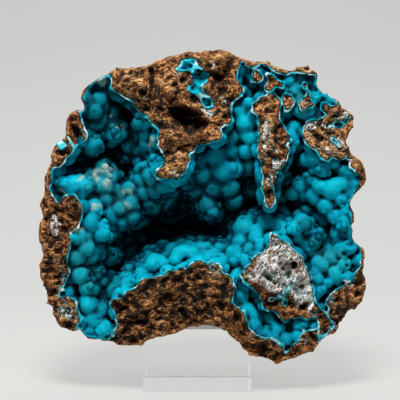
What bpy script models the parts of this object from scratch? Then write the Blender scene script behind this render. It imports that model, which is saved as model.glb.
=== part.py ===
"""Hemimorphite in a limonite nodule, standing on a clear block.

The nodule is broken off roughly flat across the front (-Y). Behind the break is one great hollow with
hanging and standing rock in it, and every wall of it wears a crust of botryoidal hemimorphite.
Lengths are in millimetres here and the objects are in metres, +Z up, the origin under the middle.
"""
import math
import random

import bpy
import bmesh
from mathutils import Matrix, Vector
from mathutils.kdtree import KDTree

MM = 0.001

# Driving sizes
NODULE_CENTRE = (0.0, -42.0, 83.0)
NODULE_RADII = (82.0, 88.0, 80.0)
FRONT_Y = -45.0          # foremost part of the broken face
FRONT_FALL = 9.0         # how far the broken face curves back at its edge
BACK_Y = 50.0
FACE_RELIEF = 3.4        # roughness of the broken face
ROCK_RELIEF = 3.6        # roughness of the weathered back
RIM_WALL = 1.3           # rock left outside the crust where the hollow reaches the outline
MOUTH_FLARE = 2.0        # how much wider than the outline the mouth is drawn, before the rim limits it
CRUST = 1.9              # hemimorphite between its balls
GAP = 0.32               # between the crust and the rock behind it
BALL_SIZES = (3.2, 6.4)
BALL_COUNT = 330
BLOCK_MIDDLE = (-2.6, -7.0)
BLOCK_SIDE = 50.8
BLOCK_BOTTOM = -2.8
BLOCK_HEIGHT = 29.3
BLOCK_EDGE = 0.7
BLOCK_TOP = BLOCK_BOTTOM + BLOCK_HEIGHT
SEAT_GAP = 0.3
SEAT_MARGIN = 3.0
SEAT_RELIEF = 3.0
FLOOR_OVER_SEAT = 11.0   # rock between the block and the hollow
SEED = 7

# Outline of the whole stone from the front, clockwise, x and z
OUTLINE = [
    (-43, 144.5), (-40, 146.2), (-34, 146.2), (-26, 146.8), (-22.8, 147.8), (-19, 149.8), (-14, 151),
    (-11, 152), (-8, 153.2), (-3, 153.3), (0, 154.4), (5, 154.2), (10, 153.4), (14.5, 151.4), (18.5, 149.6),
    (21.5, 149), (23.5, 147.8), (26, 149), (29, 148.8), (31, 147), (35.5, 145.8), (39, 145.2), (42, 146.8),
    (46.5, 146.6), (50.3, 144.3), (51, 141.5), (50.3, 139), (52, 136.5), (52.8, 134.8), (58.5, 134),
    (60.2, 131.8), (63.5, 128), (66.6, 127.4), (67.8, 124.8), (66.6, 120.8), (65.2, 118.5), (64.6, 115),
    (64, 113.4), (66, 112), (66, 109), (65.3, 107), (68.5, 105.7), (70.8, 104), (71.7, 101), (71.8, 97),
    (70.8, 93), (68.2, 91), (66.6, 87.8), (65.7, 85), (66.8, 81.5), (67.4, 78), (67.2, 76), (68, 73),
    (68.6, 70), (70, 67.2), (72.3, 65.8), (72.6, 61), (72, 57), (73, 53), (73.5, 48), (73.8, 44.5),
    (72.8, 41.2), (70, 39.5), (67, 37.5), (64.6, 35), (63.4, 32.5), (62.6, 29.5), (60, 28), (56.5, 25),
    (53.5, 22.2), (52.2, 19), (50, 17.2), (45, 15.3), (42, 14), (38.5, 14), (36.5, 13.2), (35, 12.2),
    (33.4, 12.7), (31, 14.8), (28, 16), (24, 17), (21.4, 16.6), (18, 19), (16.2, 21.4), (14.4, 24),
    (13.4, 26.4), (10.5, 28.6), (7, 30.2), (2.2, 32), (-2, 31), (-8, 30.2), (-13, 27.6), (-18, 27),
    (-22, 25.6), (-26.5, 25), (-28.2, 22.4), (-33, 21.5), (-39, 22.4), (-42, 23.9), (-48.5, 23.8),
    (-52.5, 25.2), (-54.8, 27.6), (-55.6, 29.9), (-58, 28.7), (-61.5, 28.8), (-64.2, 30.3), (-66, 32.3),
    (-68, 34.6), (-69, 38), (-70.4, 40.2), (-70.4, 43), (-72.3, 47), (-73.3, 51), (-74.1, 55), (-73.1, 58.5),
    (-71.8, 62), (-72.4, 66.5), (-73.7, 71), (-73.3, 75.5), (-71.9, 79), (-72.7, 84.5), (-71.8, 87.2),
    (-69.8, 89.2), (-70.9, 93.8), (-69.5, 97), (-69.7, 101), (-67.7, 103), (-67.8, 107), (-66.6, 112),
    (-65.5, 114.5), (-62, 115.2), (-61, 118), (-60.9, 122), (-59.5, 125.2), (-57, 127.6), (-53.6, 127.2),
    (-52.7, 130.3), (-54.4, 133.8), (-53.6, 137), (-51, 139.8), (-47, 141.8),
]

# Rock faces left by the break: where each runs back to (y), how much it narrows on the way, its outline
FACES = {
    "crown": (26, 0.30, [
        (-44, 146), (-42.6, 143.6), (-41.6, 141.6), (-42.3, 138.4), (-38.5, 136), (-35, 134.1), (-32, 132),
        (-29.5, 129.2), (-27.6, 126.8), (-24.5, 124.4), (-22, 121.4), (-20, 118.8), (-19.6, 115.6),
        (-19.4, 112), (-18.2, 108.8), (-17, 105.6), (-18.4, 102.6), (-20.4, 100), (-21.3, 98), (-18.6, 97.2),
        (-15, 97.6), (-11.6, 97), (-10.4, 98.8), (-8, 100.2), (-7.2, 103), (-6, 105.4), (-6.8, 107.8),
        (-4.4, 109.8), (-2, 112.3), (1, 113.4), (6, 114.2), (8.6, 116.4), (7.2, 118.6), (8.4, 120.6),
        (11.6, 121.8), (12.6, 123.6), (12, 128), (12.6, 131.4), (14.4, 133.4), (17.6, 134.6), (18.6, 136.2),
        (17, 139), (15.2, 141.4), (15.6, 144.8), (16.6, 148), (19, 152), (6, 158), (-20, 156), (-44, 150),
    ]),
    "tooth": (-14, 0.25, [
        (-58.5, 129), (-55.2, 126.8), (-54.9, 124), (-53.9, 120.6), (-52.2, 116.6), (-53.2, 114.6),
        (-55.8, 113), (-57.6, 111.4), (-59, 112.6), (-60.2, 115.4), (-63, 119), (-62.6, 122.8), (-60, 127.4),
    ]),
    "left_chip": (-10, 0.1, [
        (-70, 112.5), (-66.4, 115), (-61, 116), (-58.6, 111.2), (-58.8, 109.4), (-61, 106.2), (-62.6, 103.8),
        (-64.8, 102.6), (-68, 102.8), (-71, 104),
    ]),
    "left_wall": (0, 0.1, [
        (-76, 92), (-71.5, 94), (-69.4, 91.6), (-67.2, 88.6), (-66, 86), (-64.6, 86.2), (-63.2, 88.6),
        (-60, 90.2), (-57.4, 88.8), (-56, 86.4), (-55.2, 83), (-55.4, 79), (-57.4, 75.8), (-60.4, 72.6),
        (-60.2, 69), (-60.6, 65), (-61.4, 60), (-60.6, 54.6), (-62.4, 51), (-64.6, 47.4), (-62.6, 45.4),
        (-60.6, 43.2), (-58, 41.2), (-57.2, 38), (-56.2, 34.4), (-56.2, 31.6), (-58, 28.4), (-60, 26),
        (-66.4, 28), (-72, 34), (-74, 40), (-80, 60),
    ]),
    "arch": (-17, 0.16, [
        (-44.2, 22), (-43.4, 24.6), (-41.4, 26.6), (-39.6, 29), (-39.4, 31.4), (-40.8, 34.8), (-42.2, 38.2),
        (-43.6, 41.4), (-41, 42.8), (-37.6, 43.4), (-33.6, 46), (-29.4, 48), (-27, 51.4), (-22.6, 52.4),
        (-20, 53.2), (-18.6, 52.6), (-15, 55.6), (-11.8, 56.2), (-10, 57.2), (-7.6, 56.2), (-4.6, 58.4),
        (-2.4, 59.6), (0.2, 58.8), (2, 57.8), (3.6, 59.7), (6, 58.4), (8, 56), (7.6, 54.4), (10.6, 53),
        (13.4, 52.6), (13.2, 49.4), (13.8, 47.4), (12.2, 46.8), (13.8, 43), (12.2, 41.2), (15, 39.4),
        (18, 36.4), (19.4, 32.6), (21, 29.2), (23.4, 25.6), (27, 24.4), (30.6, 24.8), (33.4, 23.2),
        (35.4, 21), (37, 20.6), (38, 17.6), (38.8, 15.4), (40, 16.4), (42, 19), (44.2, 21.4), (45.4, 23.4),
        (47.4, 26.4), (51.4, 28), (53.4, 28.4), (53.8, 26), (54.6, 22.6), (56, 18), (40, 6), (20, 6), (-10, 20),
    ]),
    "island": (-20, 0.2, [
        (30.4, 72.2), (33.4, 71.4), (36, 69.4), (39.6, 66.6), (42.6, 63.8), (45, 60.6), (47, 57), (48.6, 52),
        (49.6, 47), (50.2, 43.6), (51.8, 40.2), (54, 37.2), (56.6, 33.8), (59.2, 31), (57, 26), (54.4, 24.2),
        (54, 28.6), (53.2, 31.6), (51.6, 33.2), (48, 33), (44.4, 34.2), (41, 33.2), (38.8, 32.6), (37, 31.4),
        (36, 32.8), (34.4, 34.8), (31, 36.6), (27.4, 37.8), (26.2, 41), (25, 44.2), (22.6, 47.2), (20.2, 49.6),
        (17.8, 51.2), (16.8, 54), (18.6, 56.2), (20.8, 58.4), (22.6, 61.6), (26.2, 63.4), (29, 66.2),
        (30, 69.4),
    ]),
    "right_rim": (-10, 0.1, [
        (69.8, 55.4), (68.6, 53), (68.6, 50.4), (65.4, 49.2), (61, 47), (58.2, 44.4), (57, 42), (56.2, 40.2),
        (57.6, 38.4), (57, 36), (58, 33.2), (60.4, 31.2), (58, 26), (66, 26), (80, 40), (78, 58), (72.4, 58),
    ]),
    "pendant": (-12, 0.35, [
        (22.6, 130.4), (22.4, 127.6), (24.4, 125), (24.9, 121), (25.6, 116.4), (24.8, 112.4), (25, 107.4),
        (26.2, 105.2), (27, 101), (27.6, 96.6), (27.2, 92.6), (27.6, 89), (28.8, 85.4), (30, 84.4),
        (31.2, 85.6), (31.5, 89.6), (31, 93.8), (32, 96.4), (32.8, 99.4), (35, 102), (36.6, 105),
        (38.8, 108.4), (38.8, 110.4), (36.6, 111.4), (37.4, 113), (39.2, 114), (38.6, 117.6), (36.8, 120.4),
        (34.4, 122.2), (33.4, 124.4), (34, 127.6), (35, 131), (34.6, 134), (32.6, 136), (30.4, 136.4),
        (28, 135), (25.6, 134.2), (24.2, 131.8),
    ]),
    "bar": (-24, 0.0, [
        (28.8, 143.6), (31.4, 142.4), (34.6, 140), (36, 138.6), (35, 137.8), (32.4, 138.6), (30, 136.6),
        (28, 136.6), (28.2, 138.4), (30.2, 139.8), (29.4, 141.8),
    ]),
    "ring_core": (-24, 0.0, [
        (21.8, 142.2), (23.6, 145.2), (25.2, 144.2), (26.2, 141.6), (24.4, 140.2), (22.4, 140.6),
    ]),
    "wedge": (-22, 0.0, [
        (36, 134.4), (39.2, 134), (40, 131.4), (38.6, 128.6), (36.6, 127), (36, 130.6),
    ]),
    "fin": (-18, 0.0, [
        (45.6, 139.6), (46.2, 137.2), (47.8, 135.6), (48, 132.8), (49, 130.2), (47, 129), (44.6, 128.4),
        (43.2, 130.6), (44.8, 132.6), (46.4, 134.6), (46.2, 136), (45.2, 137.8),
    ]),
    "east_block": (-8, 0.1, [
        (45, 118), (45.2, 120.6), (46.6, 122.8), (49, 123.4), (51.6, 122.2), (53, 123.6), (56, 125.6),
        (53.2, 128.6), (53.6, 131.2), (56.6, 129.8), (59.4, 129.4), (62, 130.6), (70, 130), (72, 116),
        (67, 107.6), (65.2, 107.6), (62.4, 105.6), (60.2, 105.4), (57.6, 106.6), (55.6, 105.4), (53, 106.8),
        (51, 109.6), (48.4, 111), (46.4, 113.2), (45.6, 115.4),
    ]),
    "knob": (-12, 0.0, [
        (66.4, 102.6), (66.8, 104.6), (68.6, 107), (74, 105), (73, 98), (71.2, 98.2), (69, 100.2),
    ]),
    "top_rim": (-8, 0.0, [
        (17.6, 153), (18, 149.4), (19, 147.6), (21.6, 147.6), (23.4, 148.6), (25, 149.2), (26.6, 148.2),
        (29.4, 148), (31.4, 146.2), (34, 144.4), (37.4, 144), (39.4, 145), (41, 144.8), (46, 144.8),
        (49.6, 143.6), (51.6, 146), (46, 150), (30, 152),
    ]),
}

# Chambers the hollow is made of: middle x, y, z and half sizes
CHAMBERS = [
    (-4, -20, 84, 50, 45, 31),
    (-44, -36, 122, 13, 30, 22),
    (-58, -42, 96, 11, 22, 8),
    (-45, -30, 66, 17, 36, 27),
    (-51, -38, 37, 7, 18, 14),
    (-18, -22, 70, 28, 30, 24),
    (46, -24, 84, 24, 38, 25),
    (30, -28, 112, 17, 28, 24),
    (42, -34, 133, 9, 14, 10),
    (20, -32, 138, 4, 20, 11),
    (31, -36, 35, 12, 22, 10),
    (56, -36, 56, 15, 22, 12),
    (52, -38, 136, 5, 12, 6),
    (57, -40, 132.5, 4, 10, 3),
    (27.5, -40, 145, 2.5, 10, 3.5),
]

# Rock that stands or hangs inside the hollow, all of it under the crust: middle x, y, z and half sizes
BOSSES = [
    (6, -6, 101, 11, 22, 13),
    (14, -4, 106, 8, 14, 12),
    (-27, -6, 114, 9, 18, 9),
    (-24, -2, 96, 8, 18, 11),
    (-46, -10, 93, 7, 18, 9),
    (-37, -8, 84, 7, 18, 8),
    (-55, -16, 70, 7, 16, 13),
    (-50, -12, 130, 7, 22, 12),
    (-41, -12, 119, 6, 16, 6),
    (26, -10, 71, 13, 15, 9),
    (42, -12, 73, 6, 10, 4),
    (53, -8, 92, 12, 18, 8),
    (19, -14, 121, 4.5, 10, 6),
    (59, -18, 58, 11, 12, 8),
    (50, -14, 66, 10, 16, 8),
    (41, -16, 118, 4, 9, 4),
    (-58, -24, 93, 5, 12, 4),
    (0, -14, 60, 22, 14, 6),
    (-52, -14, 48, 6, 14, 8),
    (-12, 22, 84, 16, 14, 14),
    (22, 20, 88, 13, 13, 18),
]

# Little hollows in the crown and by the left edge: outline and depth behind the break
CROWN_POCKET = [
    (-12.4, 146.2), (-10.6, 148), (-10.4, 151), (-7.6, 151.2), (-5.2, 152), (-2.6, 151.8), (-2.8, 147.8),
    (0, 146.8), (2.6, 145.2), (3.2, 143.2), (2.4, 140.6), (0.2, 138.2), (1.2, 135.6), (3, 133.2), (4.6, 130.9),
    (5.4, 128.8), (4.2, 127.6), (2, 128.5), (-0.4, 130.1), (-2.2, 132), (-4, 133.9), (-6.2, 135.4),
    (-7.2, 137.2), (-6.6, 139), (-4.4, 139.6), (-4, 141.4), (-5.6, 142.4), (-6, 144.8), (-8, 145.4),
]
CROWN_POCKET_DEPTH = 8.0
CHIP_POCKET = [
    (-65.9, 112.6), (-64.6, 114.2), (-62.6, 114.4), (-61.2, 113.8), (-59.6, 111.6), (-61.2, 110.2),
    (-63.1, 108.6), (-64.8, 110.4),
]
CHIP_POCKET_DEPTH = 6.0

# Bare recesses of the crown, with no crust: middle x, y, z and half sizes
RECESSES = [
    (-8, -42, 123.5, 10.5, 17, 6.5),
    (9.5, -44, 140.5, 5.5, 10, 6),
]

bpy.context.preferences.edit.use_global_undo = False
for old in list(bpy.data.objects):
    bpy.data.objects.remove(old, do_unlink=True)
nodes = bpy.data.collections.new("hemimorphite")
tools = bpy.data.collections.new("cutters")
bpy.context.scene.collection.children.link(nodes)
bpy.context.scene.collection.children.link(tools)
chance = random.Random(SEED)


def material(name, colour, roughness=0.6, transmission=0.0, ior=1.5):
    made = bpy.data.materials.new(name)
    made.use_nodes = True
    shader = made.node_tree.nodes["Principled BSDF"]
    shader.inputs["Base Color"].default_value = (*colour, 1.0)
    shader.inputs["Roughness"].default_value = roughness
    shader.inputs["Transmission Weight"].default_value = transmission
    shader.inputs["IOR"].default_value = ior
    return made


def linked(name, mesh, as_tool=True):
    thing = bpy.data.objects.new(name, mesh)
    (tools if as_tool else nodes).objects.link(thing)
    if as_tool:
        thing.hide_render = True
        thing.display_type = "WIRE"
    return thing


def settled(thing):
    """The object with its modifiers and its placing worked into its mesh."""
    bpy.context.view_layer.update()
    graph = bpy.context.evaluated_depsgraph_get()
    mesh = bpy.data.meshes.new_from_object(thing.evaluated_get(graph), depsgraph=graph)
    mesh.transform(thing.matrix_world)
    name = thing.name
    bpy.data.objects.remove(thing, do_unlink=True)
    made = linked(name, mesh)
    made.name = name
    return made


def slab(name, outline, front, back, narrowing=0.0):
    """A flat outline in x and z run back from one y to another, narrowing about its own middle."""
    mid_x = sum(p[0] for p in outline) / len(outline)
    mid_z = sum(p[1] for p in outline) / len(outline)
    depth = back - front
    curve = bpy.data.curves.new(name, "CURVE")
    curve.dimensions = "2D"
    curve.fill_mode = "BOTH"
    curve.extrude = depth / 2 * MM
    line = curve.splines.new("POLY")
    line.points.add(len(outline) - 1)
    for point, (x, z) in zip(line.points, outline):
        point.co = ((x - mid_x) * MM, (z - mid_z) * MM, 0.0, 1.0)
    line.use_cyclic_u = True
    thing = linked(name, curve)
    thing = settled(thing)
    thing.data.transform(Matrix.Translation((0.0, 0.0, -depth / 2 * MM)))
    weld = thing.modifiers.new("Weld", "WELD")
    weld.merge_threshold = 0.00001
    if narrowing:
        taper = thing.modifiers.new("Taper", "SIMPLE_DEFORM")
        taper.deform_method = "TAPER"
        taper.deform_axis = "Z"
        taper.factor = narrowing
    thing.rotation_euler = (math.radians(90), 0.0, 0.0)
    thing.location = (mid_x * MM, front * MM, mid_z * MM)
    return settled(thing)


def ellipsoid(name, place, detail=4):
    x, y, z, rx, ry, rz = place
    mesh = bpy.data.meshes.new(name)
    shape = bmesh.new()
    bmesh.ops.create_icosphere(shape, subdivisions=detail, radius=1.0)
    bmesh.ops.scale(shape, vec=Vector((rx, ry, rz)) * MM, verts=shape.verts)
    bmesh.ops.translate(shape, vec=Vector((x, y, z)) * MM, verts=shape.verts)
    shape.to_mesh(mesh)
    shape.free()
    return linked(name, mesh)


def box(name, low, high):
    mesh = bpy.data.meshes.new(name)
    shape = bmesh.new()
    bmesh.ops.create_cube(shape, size=1.0)
    size = [b - a for a, b in zip(low, high)]
    middle = [(a + b) / 2 for a, b in zip(low, high)]
    bmesh.ops.scale(shape, vec=Vector(size) * MM, verts=shape.verts)
    bmesh.ops.translate(shape, vec=Vector(middle) * MM, verts=shape.verts)
    shape.to_mesh(mesh)
    shape.free()
    return linked(name, mesh)


def joined(name, things):
    """Several shapes in one mesh, overlapping as they are."""
    shape = bmesh.new()
    for thing in things:
        shape.from_mesh(thing.data)
        bpy.data.objects.remove(thing, do_unlink=True)
    mesh = bpy.data.meshes.new(name)
    shape.to_mesh(mesh)
    shape.free()
    return linked(name, mesh)


def fused(thing, voxel):
    remesh = thing.modifiers.new("Fuse", "REMESH")
    remesh.mode = "VOXEL"
    remesh.voxel_size = voxel * MM
    return settled(thing)


def combined(thing, other, operation, folded=False):
    """One solid cut by another; folded where a rough surface may cross itself in a crease."""
    cut = thing.modifiers.new("Cut", "BOOLEAN")
    cut.object = other
    cut.operation = operation
    cut.solver = "MANIFOLD" if folded else "EXACT"
    return settled(thing)


def copied(thing, name):
    return linked(name, thing.data.copy())


def cloud(name, size, depth=3):
    made = bpy.data.textures.new(name, "CLOUDS")
    made.noise_scale = size * MM
    made.noise_depth = depth
    return made


def roughened(thing, texture, strength):
    rough = thing.modifiers.new("Relief", "DISPLACE")
    rough.texture = texture
    rough.texture_coords = "LOCAL"
    rough.strength = strength * MM
    rough.mid_level = 0.5
    return settled(thing)


def grown(thing, distance):
    """The surface moved out along its normals, or in where the distance is negative."""
    grow = thing.modifiers.new("Grow", "DISPLACE")
    grow.strength = distance * MM
    grow.mid_level = 0.0
    return settled(thing)


def thinned(thing, triangles):
    """The mesh reduced to about this many triangles."""
    thing.data.calc_loop_triangles()
    reduce = thing.modifiers.new("Reduce", "DECIMATE")
    reduce.ratio = min(1.0, triangles / len(thing.data.loop_triangles))
    reduce.use_collapse_triangulate = True
    return settled(thing)


def eased(thing, times):
    """Sharp folds left by the reduction drawn out."""
    ease = thing.modifiers.new("Ease", "SMOOTH")
    ease.factor = 0.35
    ease.iterations = times
    return settled(thing)


def part_corners(shape):
    """Corners of two walls that only just touch, each drawn back into its own wall."""
    shape.normal_update()
    tree = KDTree(len(shape.verts))
    for i, vert in enumerate(shape.verts):
        tree.insert(vert.co, i)
    tree.balance()
    shape.verts.ensure_lookup_table()
    back = set()
    for i, vert in enumerate(shape.verts):
        for _, j, _ in tree.find_range(vert.co, 0.003 * MM):
            if j != i:
                back.add(i)
    for i in back:
        vert = shape.verts[i]
        vert.co -= vert.normal * 0.02 * MM


def finished(thing, name, shade):
    """The one body the shape is, under its own name, with crumbs left by the cuts dropped."""
    shape = bmesh.new()
    shape.from_mesh(thing.data)
    bmesh.ops.triangulate(shape, faces=shape.faces)
    seen = set()
    bodies = []
    for face in shape.faces:
        if face in seen:
            continue
        body = [face]
        seen.add(face)
        for one in body:
            for edge in one.edges:
                if len(edge.link_faces) > 2:
                    continue
                for near in edge.link_faces:
                    if near not in seen:
                        seen.add(near)
                        body.append(near)
        bodies.append(body)
    bodies.sort(key=len)
    crumbs = [face for body in bodies[:-1] for face in body]
    bmesh.ops.delete(shape, geom=crumbs, context="FACES")
    part_corners(shape)
    mesh = bpy.data.meshes.new(name)
    shape.to_mesh(mesh)
    shape.free()
    bpy.data.objects.remove(thing, do_unlink=True)
    made = linked(name, mesh, as_tool=False)
    mesh.materials.append(shade)
    return made


# The broken face: a sheet, proud in the middle and falling back to the outline, rough all over
front_block = box("front_limit", (-90, FRONT_Y, 0), (90, 60, 170))
bulge = ellipsoid("bulge", (0, 150 + FRONT_Y, 84, 280, 150, 280), detail=6)
bulge_radius = 280.0 * math.sqrt(1 - (1 - FRONT_FALL / 150.0) ** 2)
bulge.data.transform(
    Matrix.Translation((0, 0, 84 * MM))
    @ Matrix.Diagonal((74.0 / bulge_radius, 1.0, 74.0 / bulge_radius, 1.0))
    @ Matrix.Translation((0, 0, -84 * MM))
)
face_sheet = combined(front_block, bulge, "INTERSECT")
face_sheet = fused(face_sheet, 2.2)
face_sheet = roughened(face_sheet, cloud("break", 9.0, 4), FACE_RELIEF * 2)
face_sheet.name = "face_sheet"

# The stone with no hollow in it
nodule = ellipsoid("nodule", (*NODULE_CENTRE, *NODULE_RADII), detail=6)
nodule = combined(nodule, slab("outline", OUTLINE, FRONT_Y - 20, BACK_Y, 0.06), "INTERSECT")
nodule = fused(nodule, 1.3)
nodule = roughened(nodule, cloud("weathering", 13.0, 4), ROCK_RELIEF * 2)
stone = combined(copied(nodule, "stone"), face_sheet, "INTERSECT", folded=True)
stone = fused(stone, 1.3)
stone = thinned(stone, 1600)
stone.name = "stone"

# The hollow: its mouth inside the outline, and chambers behind, less the rock left standing in it
mouth = slab("mouth", OUTLINE, FRONT_Y - 14, -20, 0.13)
mouth = fused(mouth, 1.2)
mouth = grown(mouth, MOUTH_FLARE)
void_parts = [mouth] + [ellipsoid(f"chamber_{i}", place) for i, place in enumerate(CHAMBERS)]
hollow = fused(joined("hollow", void_parts), 1.2)
standing = [slab(n, line, FRONT_Y - 30, back, narrow) for n, (back, narrow, line) in FACES.items()]
standing = fused(joined("standing", standing), 1.0)
bosses = [ellipsoid(f"boss_{i}", place, detail=3) for i, place in enumerate(BOSSES)]
foot = BLOCK_SIDE / 2 + SEAT_MARGIN + 3.0
bosses.append(box(
    "floor",
    (BLOCK_MIDDLE[0] - foot, BLOCK_MIDDLE[1] - foot + 8, 0),
    (BLOCK_MIDDLE[0] + foot, BLOCK_MIDDLE[1] + foot + 20, BLOCK_TOP + FLOOR_OVER_SEAT),
))
bosses = fused(joined("bosses", bosses), 1.4)
hollow = combined(hollow, standing, "DIFFERENCE", folded=True)
hollow = combined(hollow, bosses, "DIFFERENCE", folded=True)
hollow = fused(hollow, 1.2)
hollow = roughened(hollow, cloud("hollow_relief", 11.0, 2), 3.0)
side_limit = fused(grown(nodule, -RIM_WALL - 0.6), 1.3)
hollow = combined(hollow, side_limit, "INTERSECT", folded=True)
hollow = fused(hollow, 1.2)
hollow = eased(thinned(eased(hollow, 10), 1550), 2)
hollow.name = "hollow"

# The rock: the stone less the hollow, the small pockets, the bare recesses and the seat on the block
rock = combined(copied(stone, "rock"), hollow, "DIFFERENCE", folded=True)
crown_hole = slab("crown_hole", CROWN_POCKET, FRONT_Y - 14, FRONT_Y + 3 + CROWN_POCKET_DEPTH, 0.12)
chip_hole = slab("chip_hole", CHIP_POCKET, FRONT_Y - 14, FRONT_Y + 9 + CHIP_POCKET_DEPTH, 0.12)
rock = combined(rock, crown_hole, "DIFFERENCE")
rock = combined(rock, chip_hole, "DIFFERENCE")
for i, place in enumerate(RECESSES):
    rock = combined(rock, ellipsoid(f"recess_{i}", place, detail=3), "DIFFERENCE")
    bpy.data.objects.remove(bpy.data.objects[f"recess_{i}"], do_unlink=True)

half = BLOCK_SIDE / 2 + SEAT_MARGIN
seat_top = BLOCK_TOP + SEAT_GAP
seat = box(
    "seat",
    (BLOCK_MIDDLE[0] - half, BLOCK_MIDDLE[1] - half, -20),
    (BLOCK_MIDDLE[0] + half, BLOCK_MIDDLE[1] + half, seat_top + SEAT_RELIEF),
)
seat = fused(seat, 2.6)
seat = roughened(seat, cloud("seat_relief", 14.0, 2), SEAT_RELIEF)
clear_space = box(
    "clear_space",
    (BLOCK_MIDDLE[0] - half, BLOCK_MIDDLE[1] - half, -20),
    (BLOCK_MIDDLE[0] + half, BLOCK_MIDDLE[1] + half, seat_top),
)
rock = combined(rock, seat, "DIFFERENCE")
rock = combined(rock, clear_space, "DIFFERENCE")
rock_shade = material("limonite", (0.13, 0.055, 0.025), roughness=0.9)
rock = finished(rock, "limonite_matrix", rock_shade)

# The crust of the great hollow: its outer skin follows the rock, its inner one is grown and balled
skin = grown(copied(hollow, "skin"), -GAP)
close = grown(copied(hollow, "close"), -GAP / 3)
skin = combined(skin, close, "INTERSECT", folded=True)
skin = combined(skin, hollow, "INTERSECT", folded=True)
inner = grown(copied(hollow, "inner"), -(GAP + CRUST))
inner = fused(inner, 1.0)
spots = [v.co.copy() for v in hollow.data.vertices if v.co.y > (FRONT_Y + 1) * MM]
chance.shuffle(spots)
balls = []
for i, spot in enumerate(spots[:BALL_COUNT]):
    size = chance.uniform(*BALL_SIZES)
    centre = spot / MM
    balls.append(ellipsoid(f"ball_{i}", (*centre, size, size, size), detail=2))
balls = fused(joined("balls", balls), 0.9)
inner = combined(inner, balls, "DIFFERENCE", folded=True)
inner = fused(inner, 0.9)
inner = eased(thinned(inner, 2300), 1)
crust = combined(skin, stone, "INTERSECT", folded=True)
crust = combined(crust, inner, "DIFFERENCE", folded=True)
blue_shade = material("hemimorphite", (0.0, 0.35, 0.42), roughness=0.55)
crust = finished(crust, "hemimorphite_crust", blue_shade)


def pocket_lining(name, outline, back, deep):
    """A crust on the walls and the floor of a small pocket."""
    outer = grown(slab(name, outline, FRONT_Y - 14, back, 0.12), -GAP)
    within = slab(f"{name}_space", outline, FRONT_Y - 16, back - deep, 0.2)
    within = grown(within, -1.1)
    lining = combined(outer, stone, "INTERSECT")
    lining = combined(lining, within, "DIFFERENCE")
    return finished(lining, name, blue_shade)


pocket_lining("crown_pocket_crust", CROWN_POCKET, FRONT_Y + 3 + CROWN_POCKET_DEPTH, 1.4)
pocket_lining("left_pocket_crust", CHIP_POCKET, FRONT_Y + 9 + CHIP_POCKET_DEPTH, 1.2)

# The block it stands on: clear acrylic, polished, its edges just broken
block = box(
    "clear_block",
    (BLOCK_MIDDLE[0] - BLOCK_SIDE / 2, BLOCK_MIDDLE[1] - BLOCK_SIDE / 2, BLOCK_BOTTOM),
    (BLOCK_MIDDLE[0] + BLOCK_SIDE / 2, BLOCK_MIDDLE[1] + BLOCK_SIDE / 2, BLOCK_TOP),
)
edge = block.modifiers.new("Edges", "BEVEL")
edge.width = BLOCK_EDGE * MM
edge.segments = 2
block = settled(block)
clear_shade = material("clear_acrylic", (0.97, 0.98, 0.98), roughness=0.03, transmission=1.0, ior=1.49)
finished(block, "acrylic_block", clear_shade)

# The origin under the middle of it all
corners = [v.co for thing in nodes.objects for v in thing.data.vertices]
middle_x = (min(c.x for c in corners) + max(c.x for c in corners)) / 2
middle_y = (min(c.y for c in corners) + max(c.y for c in corners)) / 2
for thing in nodes.objects:
    thing.data.transform(Matrix.Translation((-middle_x, -middle_y, -BLOCK_BOTTOM * MM)))
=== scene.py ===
"""Hemimorphite on limonite: a broken nodule whose hollow is lined with turquoise crust, on a clear block.

The stone and its crust are shaped as fields of distance on a fine grid, from the outlines and sizes below,
and meshed. Lengths in the tables are millimetres, x to the right, y away from the viewer, z up.
"""
import math

import bmesh
import bpy
import numpy as np
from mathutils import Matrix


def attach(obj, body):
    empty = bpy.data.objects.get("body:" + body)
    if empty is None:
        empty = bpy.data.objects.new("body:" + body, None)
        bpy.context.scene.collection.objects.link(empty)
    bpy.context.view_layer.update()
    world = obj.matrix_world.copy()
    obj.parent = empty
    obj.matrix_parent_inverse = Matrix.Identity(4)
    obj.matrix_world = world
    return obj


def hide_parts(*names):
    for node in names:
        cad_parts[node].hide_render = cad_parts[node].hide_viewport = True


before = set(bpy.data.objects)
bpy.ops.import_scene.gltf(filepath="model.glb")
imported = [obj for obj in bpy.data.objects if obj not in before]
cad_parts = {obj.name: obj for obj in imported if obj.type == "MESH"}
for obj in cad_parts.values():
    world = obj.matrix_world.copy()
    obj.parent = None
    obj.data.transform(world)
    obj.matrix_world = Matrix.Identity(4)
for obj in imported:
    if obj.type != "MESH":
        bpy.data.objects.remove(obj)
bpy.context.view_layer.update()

import openvdb
from bpy.props import FloatProperty, IntProperty, PointerProperty
from bpy.types import Operator, Panel, PropertyGroup
from mathutils import Vector

bl_info = {
    "name": "Hemimorphite on limonite",
    "version": (1, 0, 0),
    "blender": (4, 5, 0),
    "location": "View3D > Sidebar > Hemimorphite",
    "description": "A limonite nodule with its hollow lined by botryoidal hemimorphite, on a clear block",
    "category": "Object",
}

MM = 0.001
NOISE_GAIN = 2.2         # brings the smoothed noise back to about -1 to 1

# The tables give places as they are seen against the plane of the break, from this far in front of it
EYE_AWAY = 510.4
EYE_AIM = (-1.44, 87.5)
EYE_RISE = math.radians(3.2)

# The nodule behind the break, and the broken face
NODULE_CENTRE = (0.0, -42.0, 83.0)
NODULE_RADII = (76.0, 88.0, 74.0)
NODULE_REACH = 66.0      # distance over which the nodule's roundness is measured
FRONT_Y = -45.0
FRONT_MIDDLE = (0.0, 84.0)
FRONT_RADIUS = 74.0
FRONT_FALL = 8.0         # how far the face falls back at that radius
FRONT_LIMIT = 47.3       # no part of it stands further forward than this
BACK_Y = 50.0

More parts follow.
